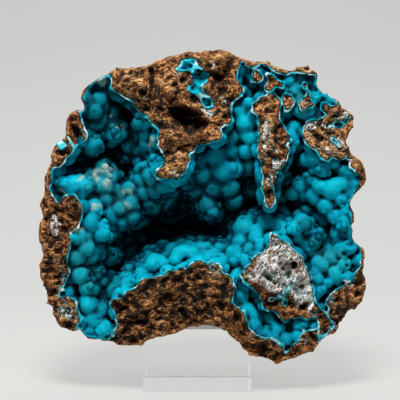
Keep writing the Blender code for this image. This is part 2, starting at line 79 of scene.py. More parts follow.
# The crust's fit against the rock
CRUST_GAP = 0.04
CRUST_PROUD = 0.15       # how far its broken edge stands in front of the rock's
RIM_WALL = 0.25          # rock left outside it where the hollow reaches the outline
SKIN_OVERLAP = 2.1       # how far its three parts run past their ends, one under the next
CORNER_REACH = 1.8       # reaches over which a place is judged to be shut in
CAVE_REACH = 5.0

# The clear block and the stone's seat on it
BLOCK_MIDDLE = (-2.6, -7.0)
BLOCK_SIDE = 50.8
BLOCK_TOP = 26.5
BLOCK_HEIGHT = 29.3
BLOCK_EDGE = 0.35
SEAT_TOP = BLOCK_TOP + 0.3
SEAT_MARGIN = 2.5
FLOOR_MIDDLE = (-2.6, 7.0)      # rock kept between the seat and the hollow
FLOOR_HALF = (31.4, 37.4)
FLOOR_TOP = BLOCK_TOP + 11.0

SHIFT = (-0.155, -0.766, 2.8)   # from the tables' axes to the object's own

# Outline of the whole stone from the front, clockwise, x and z
OUTLINE = [
    (-43, 144.5), (-40, 146.2), (-34, 146.2), (-26, 146.8), (-22.8, 147.8), (-19, 149.8), (-14, 151),
    (-11, 152), (-8, 153.2), (-3, 153.3), (0, 154.4), (5, 154.2), (10, 153.4), (14.5, 151.4), (18.5, 149.6),
    (21.5, 149), (23.5, 147.8), (26, 149), (29, 148.8), (31, 147), (35.5, 145.8), (39, 145.2), (42, 146.8),
    (46.5, 146.6), (50.3, 144.3), (51, 141.5), (50.3, 139), (52, 136.5), (52.8, 134.8), (58.5, 134),
    (60.2, 131.8), (63.5, 128), (66.6, 127.4), (67.8, 124.8), (66.6, 120.8), (65.2, 118.5), (64.6, 115),
    (64, 113.4), (66, 112), (66, 109), (65.3, 107), (68.5, 105.7), (70.8, 104), (71.7, 101), (71.8, 97),
    (70.8, 93), (68.2, 91), (66.6, 87.8), (65.7, 85), (66.8, 81.5), (67.4, 78), (67.2, 76), (68, 73),
    (68.6, 70), (70, 67.2), (72.3, 65.8), (72.6, 61), (72, 57), (73, 53), (73.5, 48), (73.8, 44.5),
    (72.8, 41.2), (70, 39.5), (67, 37.5), (64.6, 35), (63.4, 32.5), (62.6, 29.5), (60, 28), (56.5, 25),
    (53.5, 22.2), (52.2, 19), (50, 17.2), (45, 15.3), (42, 14), (38.5, 14), (36.5, 13.2), (35, 12.2),
    (33.4, 12.7), (31, 14.8), (28, 16), (24, 17), (21.4, 16.6), (18, 19), (16.2, 21.4), (14.4, 24),
    (13.4, 26.4), (10.5, 28.6), (7, 30.2), (2.2, 32), (-2, 31), (-8, 30.2), (-13, 27.6), (-18, 27),
    (-22, 25.6), (-26.5, 25), (-28.2, 22.4), (-33, 21.5), (-39, 22.4), (-42, 23.9), (-48.5, 23.8),
    (-52.5, 25.2), (-54.8, 27.6), (-55.6, 29.9), (-58, 28.7), (-61.5, 28.8), (-64.2, 30.3), (-66, 32.3),
    (-68, 34.6), (-69, 38), (-70.4, 40.2), (-70.4, 43), (-72.3, 47), (-73.3, 51), (-74.1, 55), (-73.1, 58.5),
    (-71.8, 62), (-72.4, 66.5), (-73.7, 71), (-73.3, 75.5), (-71.9, 79), (-72.7, 84.5), (-71.8, 87.2),
    (-69.8, 89.2), (-70.9, 93.8), (-69.5, 97), (-69.7, 101), (-67.7, 103), (-67.8, 107), (-66.6, 112),
    (-65.5, 114.5), (-62, 115.2), (-61, 118), (-60.9, 122), (-59.5, 125.2), (-57, 127.6), (-53.6, 127.2),
    (-52.7, 130.3), (-54.4, 133.8), (-53.6, 137), (-51, 139.8), (-47, 141.8),
]

# Rock faces left by the break: where each runs back to (y), how much it narrows on the way, its outline
FACES = {
    "crown": (26, 0.30, [
        (-44, 146), (-42.6, 143.6), (-41.6, 141.6), (-42.3, 138.4), (-38.5, 136), (-35, 134.1), (-32, 132),
        (-29.5, 129.2), (-27.6, 126.8), (-24.5, 124.4), (-22, 121.4), (-20, 118.8), (-19.6, 115.6),
        (-19.4, 112), (-18.2, 108.8), (-17, 105.6), (-18.4, 102.6), (-20.4, 100), (-21.3, 98), (-18.6, 97.2),
        (-15, 97.6), (-11.6, 97), (-10.4, 98.8), (-8, 100.2), (-7.2, 103), (-6, 105.4), (-6.8, 107.8),
        (-4.4, 109.8), (-2, 112.3), (1, 113.4), (6, 114.2), (8.6, 116.4), (7.2, 118.6), (8.4, 120.6),
        (11.6, 121.8), (12.6, 123.6), (12, 128), (12.6, 131.4), (14.4, 133.4), (17.6, 134.6), (18.6, 136.2),
        (17, 139), (15.2, 141.4), (15.6, 144.8), (16.6, 148), (19, 152), (6, 158), (-20, 156), (-44, 150),
    ]),
    "tooth": (-14, 0.25, [
        (-58.5, 129), (-55.2, 126.8), (-54.9, 124), (-53.9, 120.6), (-52.2, 116.6), (-53.2, 114.6),
        (-55.8, 113), (-57.6, 111.4), (-59, 112.6), (-60.2, 115.4), (-63, 119), (-62.6, 122.8), (-60, 127.4),
    ]),
    "left_chip": (-10, 0.1, [
        (-70, 112.5), (-66.4, 115), (-61, 116), (-58.6, 111.2), (-58.8, 109.4), (-61, 106.2), (-62.6, 103.8),
        (-64.8, 102.6), (-68, 102.8), (-71, 104),
    ]),
    "left_wall": (0, 0.1, [
        (-76, 92), (-71.5, 94), (-69.4, 91.6), (-67.2, 88.6), (-66, 86), (-64.6, 86.2), (-63.2, 88.6),
        (-60, 90.2), (-57.4, 88.8), (-56, 86.4), (-55.2, 83), (-55.4, 79), (-57.4, 75.8), (-60.4, 72.6),
        (-60.2, 69), (-60.6, 65), (-61.4, 60), (-60.6, 54.6), (-62.4, 51), (-64.6, 47.4), (-62.6, 45.4),
        (-60.6, 43.2), (-58, 41.2), (-57.2, 38), (-56.2, 34.4), (-56.2, 31.6), (-58, 28.4), (-60, 26),
        (-66.4, 28), (-72, 34), (-74, 40), (-80, 60),
    ]),
    "arch": (-17, 0.16, [
        (-44.2, 22), (-43.4, 24.6), (-41.4, 26.6), (-39.6, 29), (-39.4, 31.4), (-40.8, 34.8), (-42.2, 38.2),
        (-43.6, 41.4), (-41, 42.8), (-37.6, 43.4), (-33.6, 46), (-29.4, 48), (-27, 51.4), (-22.6, 52.4),
        (-20, 53.2), (-18.6, 52.6), (-15, 55.6), (-11.8, 56.2), (-10, 57.2), (-7.6, 56.2), (-4.6, 58.4),
        (-2.4, 59.6), (0.2, 58.8), (2, 57.8), (3.6, 59.7), (6, 58.4), (8, 56), (7.6, 54.4), (10.6, 53),
        (13.4, 52.6), (13.2, 49.4), (13.8, 47.4), (12.2, 46.8), (13.8, 43), (12.2, 41.2), (15, 39.4),
        (18, 36.4), (19.4, 32.6), (21, 29.2), (23.4, 25.6), (27, 24.4), (30.6, 24.8), (33.4, 23.2),
        (35.4, 21), (37, 20.6), (38, 17.6), (38.8, 15.4), (40, 16.4), (42, 19), (44.2, 21.4), (45.4, 23.4),
        (47.4, 26.4), (51.4, 28), (53.4, 28.4), (53.8, 26), (54.6, 22.6), (56, 18), (40, 6), (20, 6),
        (-10, 20),
    ]),
    "island": (-20, 0.2, [
        (30.4, 72.2), (33.4, 71.4), (36, 69.4), (39.6, 66.6), (42.6, 63.8), (45, 60.6), (47, 57), (48.6, 52),
        (49.6, 47), (50.2, 43.6), (51.8, 40.2), (54, 37.2), (56.6, 33.8), (59.2, 31), (57, 26), (54.4, 24.2),
        (54, 28.6), (53.2, 31.6), (51.6, 33.2), (48, 33), (44.4, 34.2), (41, 33.2), (38.8, 32.6), (37, 31.4),
        (36, 32.8), (34.4, 34.8), (31, 36.6), (27.4, 37.8), (26.2, 41), (25, 44.2), (22.6, 47.2),
        (20.2, 49.6),
        (17.8, 51.2), (16.8, 54), (18.6, 56.2), (20.8, 58.4), (22.6, 61.6), (26.2, 63.4), (29, 66.2),
        (30, 69.4),
    ]),
    "right_rim": (-10, 0.1, [
        (69.8, 55.4), (68.6, 53), (68.6, 50.4), (65.4, 49.2), (61, 47), (58.2, 44.4), (57, 42), (56.2, 40.2),
        (57.6, 38.4), (57, 36), (58, 33.2), (60.4, 31.2), (58, 26), (66, 26), (80, 40), (78, 58), (72.4, 58),
    ]),
    "pendant": (-12, 0.35, [
        (22.6, 130.4), (22.4, 127.6), (24.4, 125), (24.9, 121), (25.6, 116.4), (24.8, 112.4), (25, 107.4),
        (26.2, 105.2), (27, 101), (27.6, 96.6), (27.2, 92.6), (27.6, 89), (28.8, 85.4), (30, 84.4),
        (31.2, 85.6), (31.5, 89.6), (31, 93.8), (32, 96.4), (32.8, 99.4), (35, 102), (36.6, 105),
        (38.8, 108.4), (38.8, 110.4), (36.6, 111.4), (37.4, 113), (39.2, 114), (38.6, 117.6), (36.8, 120.4),
        (34.4, 122.2), (33.4, 124.4), (34, 127.6), (35, 131), (34.6, 134), (32.6, 136), (30.4, 136.4),
        (28, 135), (25.6, 134.2), (24.2, 131.8),
    ]),
    "bar": (-24, 0.0, [
        (28.8, 143.6), (31.4, 142.4), (34.6, 140), (36, 138.6), (35, 137.8), (32.4, 138.6), (30, 136.6),
        (28, 136.6), (28.2, 138.4), (30.2, 139.8), (29.4, 141.8),
    ]),
    "ring_core": (-24, 0.0, [
        (21.8, 142.2), (23.6, 145.2), (25.2, 144.2), (26.2, 141.6), (24.4, 140.2), (22.4, 140.6),
    ]),
    "wedge": (-22, 0.0, [
        (36, 134.4), (39.2, 134), (40, 131.4), (38.6, 128.6), (36.6, 127), (36, 130.6),
    ]),
    "fin": (-18, 0.0, [
        (45.6, 139.6), (46.2, 137.2), (47.8, 135.6), (48, 132.8), (49, 130.2), (47, 129), (44.6, 128.4),
        (43.2, 130.6), (44.8, 132.6), (46.4, 134.6), (46.2, 136), (45.2, 137.8),
    ]),
    "east_block": (-8, 0.1, [
        (45, 118), (45.2, 120.6), (46.6, 122.8), (49, 123.4), (51.6, 122.2), (53, 123.6), (56, 125.6),
        (53.2, 128.6), (53.6, 131.2), (56.6, 129.8), (59.4, 129.4), (62, 130.6), (70, 130), (72, 116),
        (67, 107.6), (65.2, 107.6), (62.4, 105.6), (60.2, 105.4), (57.6, 106.6), (55.6, 105.4), (53, 106.8),
        (51, 109.6), (48.4, 111), (46.4, 113.2), (45.6, 115.4),
    ]),
    "knob": (-12, 0.0, [
        (66.4, 102.6), (66.8, 104.6), (68.6, 107), (74, 105), (73, 98), (71.2, 98.2), (69, 100.2),
    ]),
    "top_rim": (-8, 0.0, [
        (17.6, 153), (18, 149.4), (19, 147.6), (21.6, 147.6), (23.4, 148.6), (25, 149.2), (26.6, 148.2),
        (29.4, 148), (31.4, 146.2), (34, 144.4), (37.4, 144), (39.4, 145), (41, 144.8), (46, 144.8),
        (49.6, 143.6), (51.6, 146), (46, 150), (30, 152),
    ]),
}

# Layers of the rock faces: how strongly they show, how thick one is, their slant in degrees, or none where
# they follow the edge
LAYERS = {
    "arch": (1.5, 1.2, None), "east_block": (0.9, 1.3, -30), "crown": (0.6, 1.3, -38),
    "pendant": (0.7, 1.2, 82), "island": (0.4, 1.3, -52), "left_wall": (0.4, 1.5, 80),
    "right_rim": (0.5, 1.3, 60), "tooth": (0.4, 1.2, 60),
}

LAYER_COUNT = 400
LAYER_RELIEF = 1.1       # how far a layer stands in or out, for a strength of one

# The upper left shoulder, where the outline is smooth: x, z, half width, half height, tilt
SMOOTH_SHOULDER = (-50, 133, 16, 16, 0)

# Chambers the hollow is made of: middle x, y, z and half sizes
CHAMBERS = [
    (-4, -20, 84, 50, 45, 31),
    (-44, -36, 122, 13, 30, 22),
    (-58, -42, 96, 11, 22, 8),
    (-45, -30, 66, 17, 36, 27),
    (-51, -38, 37, 7, 18, 14),
    (-18, -22, 70, 28, 30, 24),
    (46, -24, 84, 24, 38, 25),
    (30, -28, 112, 17, 28, 24),
    (42, -34, 133, 9, 14, 10),
    (20, -32, 138, 4, 20, 11),
    (31, -36, 35, 12, 22, 10),
    (56, -36, 56, 15, 22, 12),
    (52, -38, 136, 5, 12, 6),
    (57, -40, 132.5, 4, 10, 3),
    (27.5, -40, 145, 2.5, 10, 3.5),
]

# Rock that stands or hangs inside the hollow, all of it under the crust: middle x, y, z and half sizes
BOSSES = [
    (6, -6, 101, 11, 22, 13),
    (14, -4, 106, 8, 14, 12),
    (-27, -6, 114, 9, 18, 9),
    (-24, -2, 96, 8, 18, 11),
    (-46, -10, 93, 7, 18, 9),
    (-37, -8, 84, 7, 18, 8),
    (-55, -16, 70, 7, 16, 13),
    (-50, -12, 130, 7, 22, 12),
    (-41, -12, 119, 6, 16, 6),
    (26, -10, 71, 13, 15, 9),
    (42, -12, 73, 6, 10, 4),
    (53, -8, 92, 12, 18, 8),
    (19, -14, 121, 4.5, 10, 6),
    (59, -18, 58, 11, 12, 8),
    (50, -14, 66, 10, 16, 8),
    (41, -16, 118, 4, 9, 4),
    (-58, -24, 93, 5, 12, 4),
    (0, -14, 60, 22, 14, 6),
    (-52, -14, 48, 6, 14, 8),
    (-12, 22, 84, 16, 14, 14),
    (22, 20, 88, 13, 13, 18),
]
BOSS_SLIMMING = (0.86, 0.9, 0.86)   # room left for their crust

# Little pockets in the crown and by the left edge, each with its own crust: outline from the front
CROWN_POCKET = [
    (-12.4, 146.2), (-10.6, 148), (-10.4, 151), (-7.6, 151.2), (-5.2, 152), (-2.6, 151.8), (-2.8, 147.8),
    (0, 146.8), (2.6, 145.2), (3.2, 143.2), (2.4, 140.6), (0.2, 138.2), (1.2, 135.6), (3, 133.2),
    (4.6, 130.9),
    (5.4, 128.8), (4.2, 127.6), (2, 128.5), (-0.4, 130.1), (-2.2, 132), (-4, 133.9), (-6.2, 135.4),
    (-7.2, 137.2), (-6.6, 139), (-4.4, 139.6), (-4, 141.4), (-5.6, 142.4), (-6, 144.8), (-8, 145.4),
]
CHIP_POCKET = [
    (-65.9, 112.6), (-64.6, 114.2), (-62.6, 114.4), (-61.2, 113.8), (-59.6, 111.6), (-61.2, 110.2),
    (-63.1, 108.6), (-64.8, 110.4),
]
# Name, the solid each crust stands for, outline, depth behind the break
POCKETS = (
    ("crown", "crown_pocket_crust", CROWN_POCKET, 4.5),
    ("left", "left_pocket_crust", CHIP_POCKET, 5.0),
)

# Deeper parts of the hollow, as its chambers are given
DEEPER = [
    (-43, -16, 107, 9, 30, 8), (-16, -4, 73, 30, 32, 9), (41, -18, 105, 7, 26, 7), (54, -20, 68, 5, 20, 4.5),
    (22, -14, 94, 5, 26, 13), (-33, -14, 124, 7, 26, 8), (-50, -16, 58, 5, 18, 5), (28, -16, 36, 6, 16, 4),
]

# Patches where the skin is smooth, with few balls: x, z, half width, half height, tilt
SMOOTH = [
    (-47, 131, 11, 13, 0), (21, 110, 4, 22, 0), (41, 137, 6, 8, 0), (-58, 96, 6, 5, 0),
    (-8, 62, 27, 7, 5), (17, 50, 4, 14, 0),
    (6, 90, 15, 12, 0), (-38, 90, 14, 14, 0), (-32, 113, 9, 9, 0), (44, 84, 16, 12, 0),
    (60, 60, 10, 12, 0), (2, 111, 6, 4, 0), (-56, 108, 4, 5, 0), (16, 134, 4, 10, 0), (5, 103, 9, 9, 0),
    (-56, 62, 5, 14, 0), (58, 91, 7, 5, 0),
    (24, 72, 8, 5, 0), (-48, 34, 6, 9, 0), (33, 31, 9, 6, 0),
]

# Lumps of crust that stand out one by one: x, z, where the front of each lies (y), radius
LUMPS = [
    # upper left wall and its pale-tipped lumps
    (-46, 137, -33, 9), (-47, 128, -31, 8), (-43, 122, -29, 5), (-40.5, 119, -29, 3.6),
    (-37.5, 121, -27, 3.2),
    (-40.6, 125.5, -28, 3.0), (-45.5, 117.8, -28, 3.4), (-41, 116.8, -28.6, 3.2), (-49.5, 121, -32, 4.2),
    (-38, 131.5, -24, 4.4), (-50.4, 112.8, -36, 3.5),
    # balls left of the crown's tongue
    (-35, 117, -23, 3.2), (-31.5, 119, -24, 3.4), (-33.6, 112.5, -23.5, 3.6), (-28.5, 116.5, -27, 3.2),
    (-24.5, 118, -33, 3.4), (-25.5, 113, -31, 3.6), (-29.5, 110.5, -24, 3.8), (-24, 108, -27, 3.5),
    (-34, 107.5, -20, 3.4), (-21.8, 112.5, -34, 2.8), (-27.5, 123, -37, 2.3), (-29, 105.5, -22, 3.6),
    # cluster under them
    (-26.5, 101.5, -30, 3.6), (-23, 98.5, -34, 4.2), (-28, 97, -30, 3.8), (-31, 92, -27, 3.6),
    (-26.5, 91.5, -29, 4.2),
    (-21.5, 92, -31, 3.8), (-24, 86.5, -26, 3.6), (-19, 88.5, -25, 3.2), (-16.5, 94, -34, 3.0),
    (-20, 104.5, -36, 2.6),
    # left cap and clusters with pale tips
    (-58, 93.5, -38, 4.8), (-54.5, 92.5, -37, 3.8), (-62, 95, -40, 2.6), (-49.8, 93, -31, 3.6),
    (-45.5, 100.5, -30, 3.0),
    (-42.5, 97.5, -30, 3.4), (-41.2, 93, -29, 3.6), (-46, 94.5, -33, 4.0), (-50.5, 89.5, -31, 3.4),
    (-44.5, 88, -31, 4.2),
    (-48.4, 98.2, -29, 3.0), (-40, 88.5, -27, 3.0), (-33, 91.5, -27, 2.7), (-36.5, 89.5, -28, 3.2),
    (-33, 86, -30, 3.8),
    (-37.5, 84, -30, 3.8), (-41.8, 81.5, -30, 4.0), (-31.8, 80.6, -28, 3.8), (-36.5, 78.5, -28, 3.6),
    # left wall
    (-49.5, 84, -37, 4.4), (-51, 77.5, -39, 3.6), (-56.5, 71.5, -40, 4.6), (-53, 66, -38, 4.2),
    (-56.5, 62, -38, 3.8),
    (-49.5, 71, -34, 3.8), (-45.4, 73.2, -36, 1.9), (-55.6, 53.5, -37, 4.2), (-52.5, 48, -35, 4.0),
    (-50, 56.5, -30, 3.6),
    (-44, 52.5, -24, 3.6), (-43, 62, -24, 5), (-50, 62.5, -33, 3.4), (-38.5, 47.5, -25, 3),
    (-46.8, 45.3, -28, 3.4),
    # lower left
    (-52, 39.5, -37, 3.8), (-49.5, 33.5, -38, 4.2), (-46.5, 38.5, -35, 3.2), (-51, 28.5, -38, 3.6),
    (-45.8, 28.2, -38, 3.0),
    # hanging boss
    (-1, 106, -33, 6.2), (6, 107.5, -35, 6.0), (12, 109.5, -33, 5), (9, 101, -35, 6.2),
    (0.5, 99, -33, 5.6), (14, 101.5, -33, 4.4),
    (5, 94, -32, 5.6), (11.5, 93.5, -32, 5.2), (-3, 93, -29, 4.6), (13, 116, -34, 3.4),
    (2.5, 89.5, -29, 3.6), (1.5, 86.5, -30, 2.8),
    (4.2, 83.4, -31, 2.3), (13, 88.6, -28, 3.0), (-7.5, 97, -32, 3.0), (15.2, 106.5, -31, 3),
    # right of the boss, beside the pendant
    (19.3, 122.3, -39, 4.6), (16.6, 127.6, -38, 3.8), (20.4, 116.6, -37, 4), (20.6, 110.6, -35, 3.6),
    (20.2, 131, -39, 2.6),
    (20.5, 104, -31, 3.8), (22, 94, -18, 4), (35.6, 99, -28, 2.8), (34.5, 91.5, -22, 3.4),
    (40.2, 120.3, -36, 3.4),
    (43.5, 113.6, -31, 3.2), (49.5, 105.4, -36, 2.8), (54.5, 102.6, -37, 2.6), (40.5, 137.5, -35, 4.6),
    (38.2, 141.2, -37, 2.8),
    (50.3, 133.6, -36, 2.8), (56.5, 132.5, -36, 2.2), (43.2, 141.6, -38, 2.4), (47.8, 127.2, -39, 2.4),
    (59, 104, -37, 2.6),
    # right cluster and the right edge
    (58, 92.5, -37, 5.2), (63, 94.5, -38, 4.2), (52.5, 94, -35, 3.6), (48.5, 97, -31, 3.2),
    (44.5, 93.5, -28, 2.8), (50.5, 88.5, -31, 3.6),
    (56, 86, -33, 4.0), (41, 91, -26, 2.2), (46, 89.5, -27, 2.4), (62.5, 88, -36, 3.6),
    (46.8, 82, -24, 2.6), (53.5, 80.5, -27, 4.0),
    (60.5, 80, -34, 4.2), (66, 99.5, -40, 3.2), (68, 94.5, -39, 3.2), (63, 101, -39, 3.0),
    (61, 72.5, -31, 4.4), (55, 73, -24, 4.0),
    (65, 76, -37, 3.0), (66, 66, -38, 3.4),
    # lower right
    (62.5, 64.5, -37, 3.6), (58.5, 61, -35, 3.2), (63.5, 58.5, -38, 3.4), (54, 58, -36, 3.6),
    (69.5, 60.5, -39, 3.0),
    (59.5, 54.5, -39, 3.4), (65, 52.6, -40, 2.8), (53.5, 47.2, -37, 2.6), (50.5, 62.5, -31, 3.2),
    (46, 67, -32, 3.2), (52, 52, -38, 2.8),
    (56.5, 50, -39, 2.2), (42, 70.5, -34, 3.2),
    # behind the island
    (18.5, 74.5, -30, 5.4), (17, 68.5, -31, 4.4), (24, 70.5, -33, 4.2), (28.5, 76.2, -30, 5.2),
    (33.5, 75.4, -32, 4.2), (36.5, 72, -34, 4),
    (41.5, 75.4, -35, 2.4), (45, 75.6, -37, 2.0), (37, 79, -24, 4.0), (26, 65.5, -36, 3.2),
    (21, 64.2, -34, 2.8),
    (13.6, 63, -34, 3.2), (20.3, 60.6, -36, 2.4),
    # floor behind the arch
    (-18.5, 58.0, -33, 3.4), (-22.8, 58, -34, 3.4), (-12, 60.6, -33, 3.2), (-5, 63.2, -32, 3.8),
    (2.5, 61.2, -33, 3.4), (9, 59.5, -34, 3.4),
    (-27.5, 54, -35, 3.0), (-33, 50, -36, 3.0), (-38.5, 45.5, -37, 2.6), (14.8, 53, -37, 2.6),
    (16.5, 44, -37, 2.8), (17, 49, -36, 2.2),
    (20, 37, -36, 2.6), (21.6, 32, -37, 2.4),
    # lower right pocket
    (33, 28.8, -35, 2.8), (27.6, 26.6, -37, 3.0), (37.5, 24.5, -38, 3.2), (42.5, 26, -37, 2.8),
    (45.2, 30.6, -38, 2.2),
]

# Smaller lumps that fill the walls between them: one to a cell of this width, radius from and to
KNOB_SPACING = 4.4
KNOB_RADII = (1.7, 3.8)
KNOB_TRIES = 60000

# Lumps whose tips are pale, greenish white to tan: x, z, size of the patch
PALE_TIPS = [
    (-40.6, 125.8, 3.2), (-39.8, 120.6, 3.6), (-36.8, 120.8, 2.2), (-45.2, 101, 3.6), (-41.5, 100.5, 3.0),
    (-48.4, 98.6, 3.0),
    (-33.4, 92.2, 3.4), (-36, 90.6, 2.4), (-31.5, 88, 2.6), (-44, 94, 4), (-36, 84, 4),
    (-22.8, 115.5, 2.2), (-24.6, 112, 3.0),
    (-56, 97.6, 2.4), (-57, 73, 2.8), (-64.5, 90.5, 2.2), (-49, 84, 2.5), (-43, 98, 3.0), (-47, 141.5, 4),
]

# Small cells in the broken face, each lined with crust: x, z, half width, half height, depth, tilt in degrees
CELLS = [
    (65.9, 123.5, 1.2, 1.4, 4, 0), (62.3, 121.4, 2.3, 1.4, 4, 10), (31.6, 41.4, 1.7, 1.2, 6, 10),
    (35.2, 43.4, 2.3, 1.3, 6, 25),
    (37.6, 40.2, 1.2, 1.7, 5, 0), (38.5, 46.5, 1.6, 1.0, 4, 40),
    (60, 113.8, 3.4, 0.9, 4, -40), (46.2, 37.5, 1.7, 1.2, 4, 0), (-64.6, 43.6, 1.7, 1.5, 5, 0),
    (41.5, 57.5, 1.0, 1.9, 3, 0),
    (45.4, 30.4, 1.6, 1.0, 4, 20),
]

# Reliefs of the broken face: x, z, half width, half height, how far it stands proud (or, less than nought,
# is sunk), tilt
RELIEFS = [
    (-17.5, 141, 6.5, 6.5, 3.0, 0), (-10.5, 137, 6, 5, 3.0, 20), (-13, 145, 6, 4, 1.8, 0),
    (-33, 140, 9, 6, 2.0, 0), (-14, 133, 9, 3, 2.2, 0), (2, 116.6, 8, 3.0, 1.8, 10),
    (2, 151.5, 12, 2.4, 2.2, 0), (-13, 103, 4.5, 4.5, 2.2, 0), (30.5, 117, 4.6, 12, 2.6, 0),
    (30, 93, 2.2, 8, 1.0, 0), (-58, 125.5, 2.4, 2.4, 1.2, 0), (57, 113, 8, 7, 1.6, 0),
    (60, 126.5, 6, 3, 0.8, 0), (33, 47, 9, 3.0, 2.4, -25), (36, 60, 8, 6, 1.2, 0), (44, 47, 5, 8, 1.6, 0),
    (31, 40, 6, 3, -2.0, -10), (-18, 46, 14, 3, 1.6, 18), (-18, 34, 18, 2.4, -1.5, 12),
    (2, 40, 12, 3, 1.2, 0), (28, 21, 12, 3, 2.0, -12),
    (-67, 62, 4, 9, 1.4, 0), (-68, 76, 2.4, 7, 1.2, 0), (68, 40, 5, 8, 1.0, 0), (44, 21, 6, 4, 1.8, 0),
    (4, 51.5, 7, 4, 1.2, 0),
]

# Steep-sided recesses of the broken face: depth, how far in from the outline it is reached, outline
HOLLOWS = [
    (9.5, 4.0, [
        (-20, 130.5), (-16.5, 130.2), (-8, 130.6), (-3, 129), (1, 125), (5, 123), (2, 119.5), (-1, 117),
        (-4, 115.5), (-7, 115), (-10, 117), (-13, 121), (-15.5, 125), (-17, 128.5),
    ]),
    (3.6, 4.5, [
        (3.8, 145.5), (7, 148), (12.5, 147.4), (15.4, 144), (15.2, 139.5), (12, 135.4), (7, 134),
        (3.6, 137), (2.8, 141),
    ]),
    (4.0, 2.6, [(-60.5, 121.5), (-57.5, 121.8), (-55, 119.5), (-53.6, 115.6), (-56.5, 113.8),
    (-59.4, 115.2), (-61.4, 118.6)]),
    (1.6, 1.6, [(-15, 110), (-11.5, 108.4), (-9.4, 104), (-11.4, 101.2), (-14.6, 103.6), (-16.2, 107)]),
    (3.0, 1.2, [(-25.2, 147), (-22.6, 146.8), (-22.2, 139), (-23.4, 132.6), (-25, 134), (-24.6, 140)]),
    (2.2, 1.4, [(54.6, 122.6), (58, 123.4), (59.8, 121.4), (58.4, 119.2), (55.4, 119.4)]),
    (2.4, 1.5, [(29, 43.4), (34.4, 45.8), (37.6, 43.4), (36.2, 39.4), (31.8, 38.6), (28.4, 40.4)]),
]

# Patches of the broken face where the rock is greyish white: x, z, half width, half height, tilt
PALE_PATCHES = [
    (36.5, 56, 13, 11, -35), (44, 48, 7, 11, 10), (30, 60, 6, 6, 0), (27.5, 54.5, 7, 3.2, 20),
    (33.5, 66.5, 3.6, 4.6, 25), (46.5, 58, 3, 4, 0),
    (36.5, 50.5, 10, 3, -20), (49, 41, 3.0, 4.5, 20), (50.5, 31, 3.2, 3.2, 0), (-68, 75.5, 1.8, 5.5, 0),
    (-65.4, 90.6, 2.0, 2.4, 0),
    (34.6, 103, 2.6, 3.4, 0), (28, 115, 0.9, 10, 2), (58, 43.5, 2.6, 5, 0), (49, 126.5, 5.6, 3.0, 0),
    (-63.5, 44, 3.2, 3.0, 0),
    (2.4, 127, 2.6, 2.6, 0), (4.6, 148, 0.7, 2.6, 0), (48.6, 120.6, 2.8, 2.0, 0),
    (55.5, 110, 3.0, 1.3, -30), (43.4, 27.6, 3.5, 2.4, 0),
]
# Where veins of pale crust thread the rock: x, z, half width, half height, tilt
NET_PATCHES = [
    (49, 126.5, 6, 3.6, -10), (58, 44, 3.2, 5.4, 0), (-63.6, 44, 3.8, 3.6, 0), (-62.2, 35, 4.2, 5.4, 0),
    (34.2, 103, 2.6, 3.8, 0),
    (50.5, 31.5, 4, 3.2, 0), (43, 28, 4.4, 2.6, 10), (-66, 90.6, 2.2, 2.8, 0), (2.5, 127.5, 3.0, 2.8, 0),
    (29.2, 119, 1.5, 6, -6),
    (30.4, 96, 1.3, 4, 0), (31.8, 110, 1.2, 3.4, 8), (27, 56.4, 2.6, 2, 0), (38, 63.5, 2.4, 3.6, -35),
    (61, 113, 4.4, 2, -40),
    (57.5, 121, 3, 2.2, 0), (20, 57, 2.8, 5, 0), (31, 52.5, 4, 2.4, 0), (7, 55.5, 5, 2, 0),
    (45.5, 22, 4, 2.4, 0), (-42, 31, 2, 5, 0),
    (33, 67.5, 2.6, 4, 0), (45.5, 131, 2.6, 3, 0), (-10.5, 145, 2.4, 3, 0), (8.6, 133, 1.6, 1.6, 0),
    (10, 127, 1.6, 1.6, 0),
    (40, 50, 4.6, 3.6, 0), (46, 44, 3, 4, 0), (-11, 99.5, 4, 1.8, 0), (63.5, 125, 3.4, 3, 0),
    (37, 136, 2, 3, 0), (26, 146.5, 4, 2, 0),
    (-60, 92, 2.6, 1.8, 0), (-55.5, 117, 1.4, 4, 0), (50, 36, 3, 3, 0), (38.6, 22, 2, 4, 0),
    (-64, 51, 1.6, 5, 0), (66, 50, 2.4, 2.4, 0),
]
# Where the rock is tan
TAN_PATCHES = [
    (-33, 140, 8, 4.5, -20), (-15, 140, 7, 8, 0), (-3, 150.5, 9, 2.6, 0), (9, 150.8, 6, 2.6, 0),
    (54, 114.5, 12, 9, -20), (-13, 105, 7, 9, 0),
    (60.5, 126.6, 5, 3.4, 0), (30, 117, 4.4, 8, 0), (45, 145.6, 4.6, 1.4, 0), (62, 109.4, 2.6, 2.4, 0),
    (-67, 59, 4, 4.2, 0),
    (4, 53, 8, 3.4, 0), (-22, 43.5, 14, 1.8, 18), (24, 34, 5, 4, 0), (68, 46, 3, 5, 0),
    (69.5, 102, 3, 3.2, 0), (46, 131, 3, 3.4, 0),
]
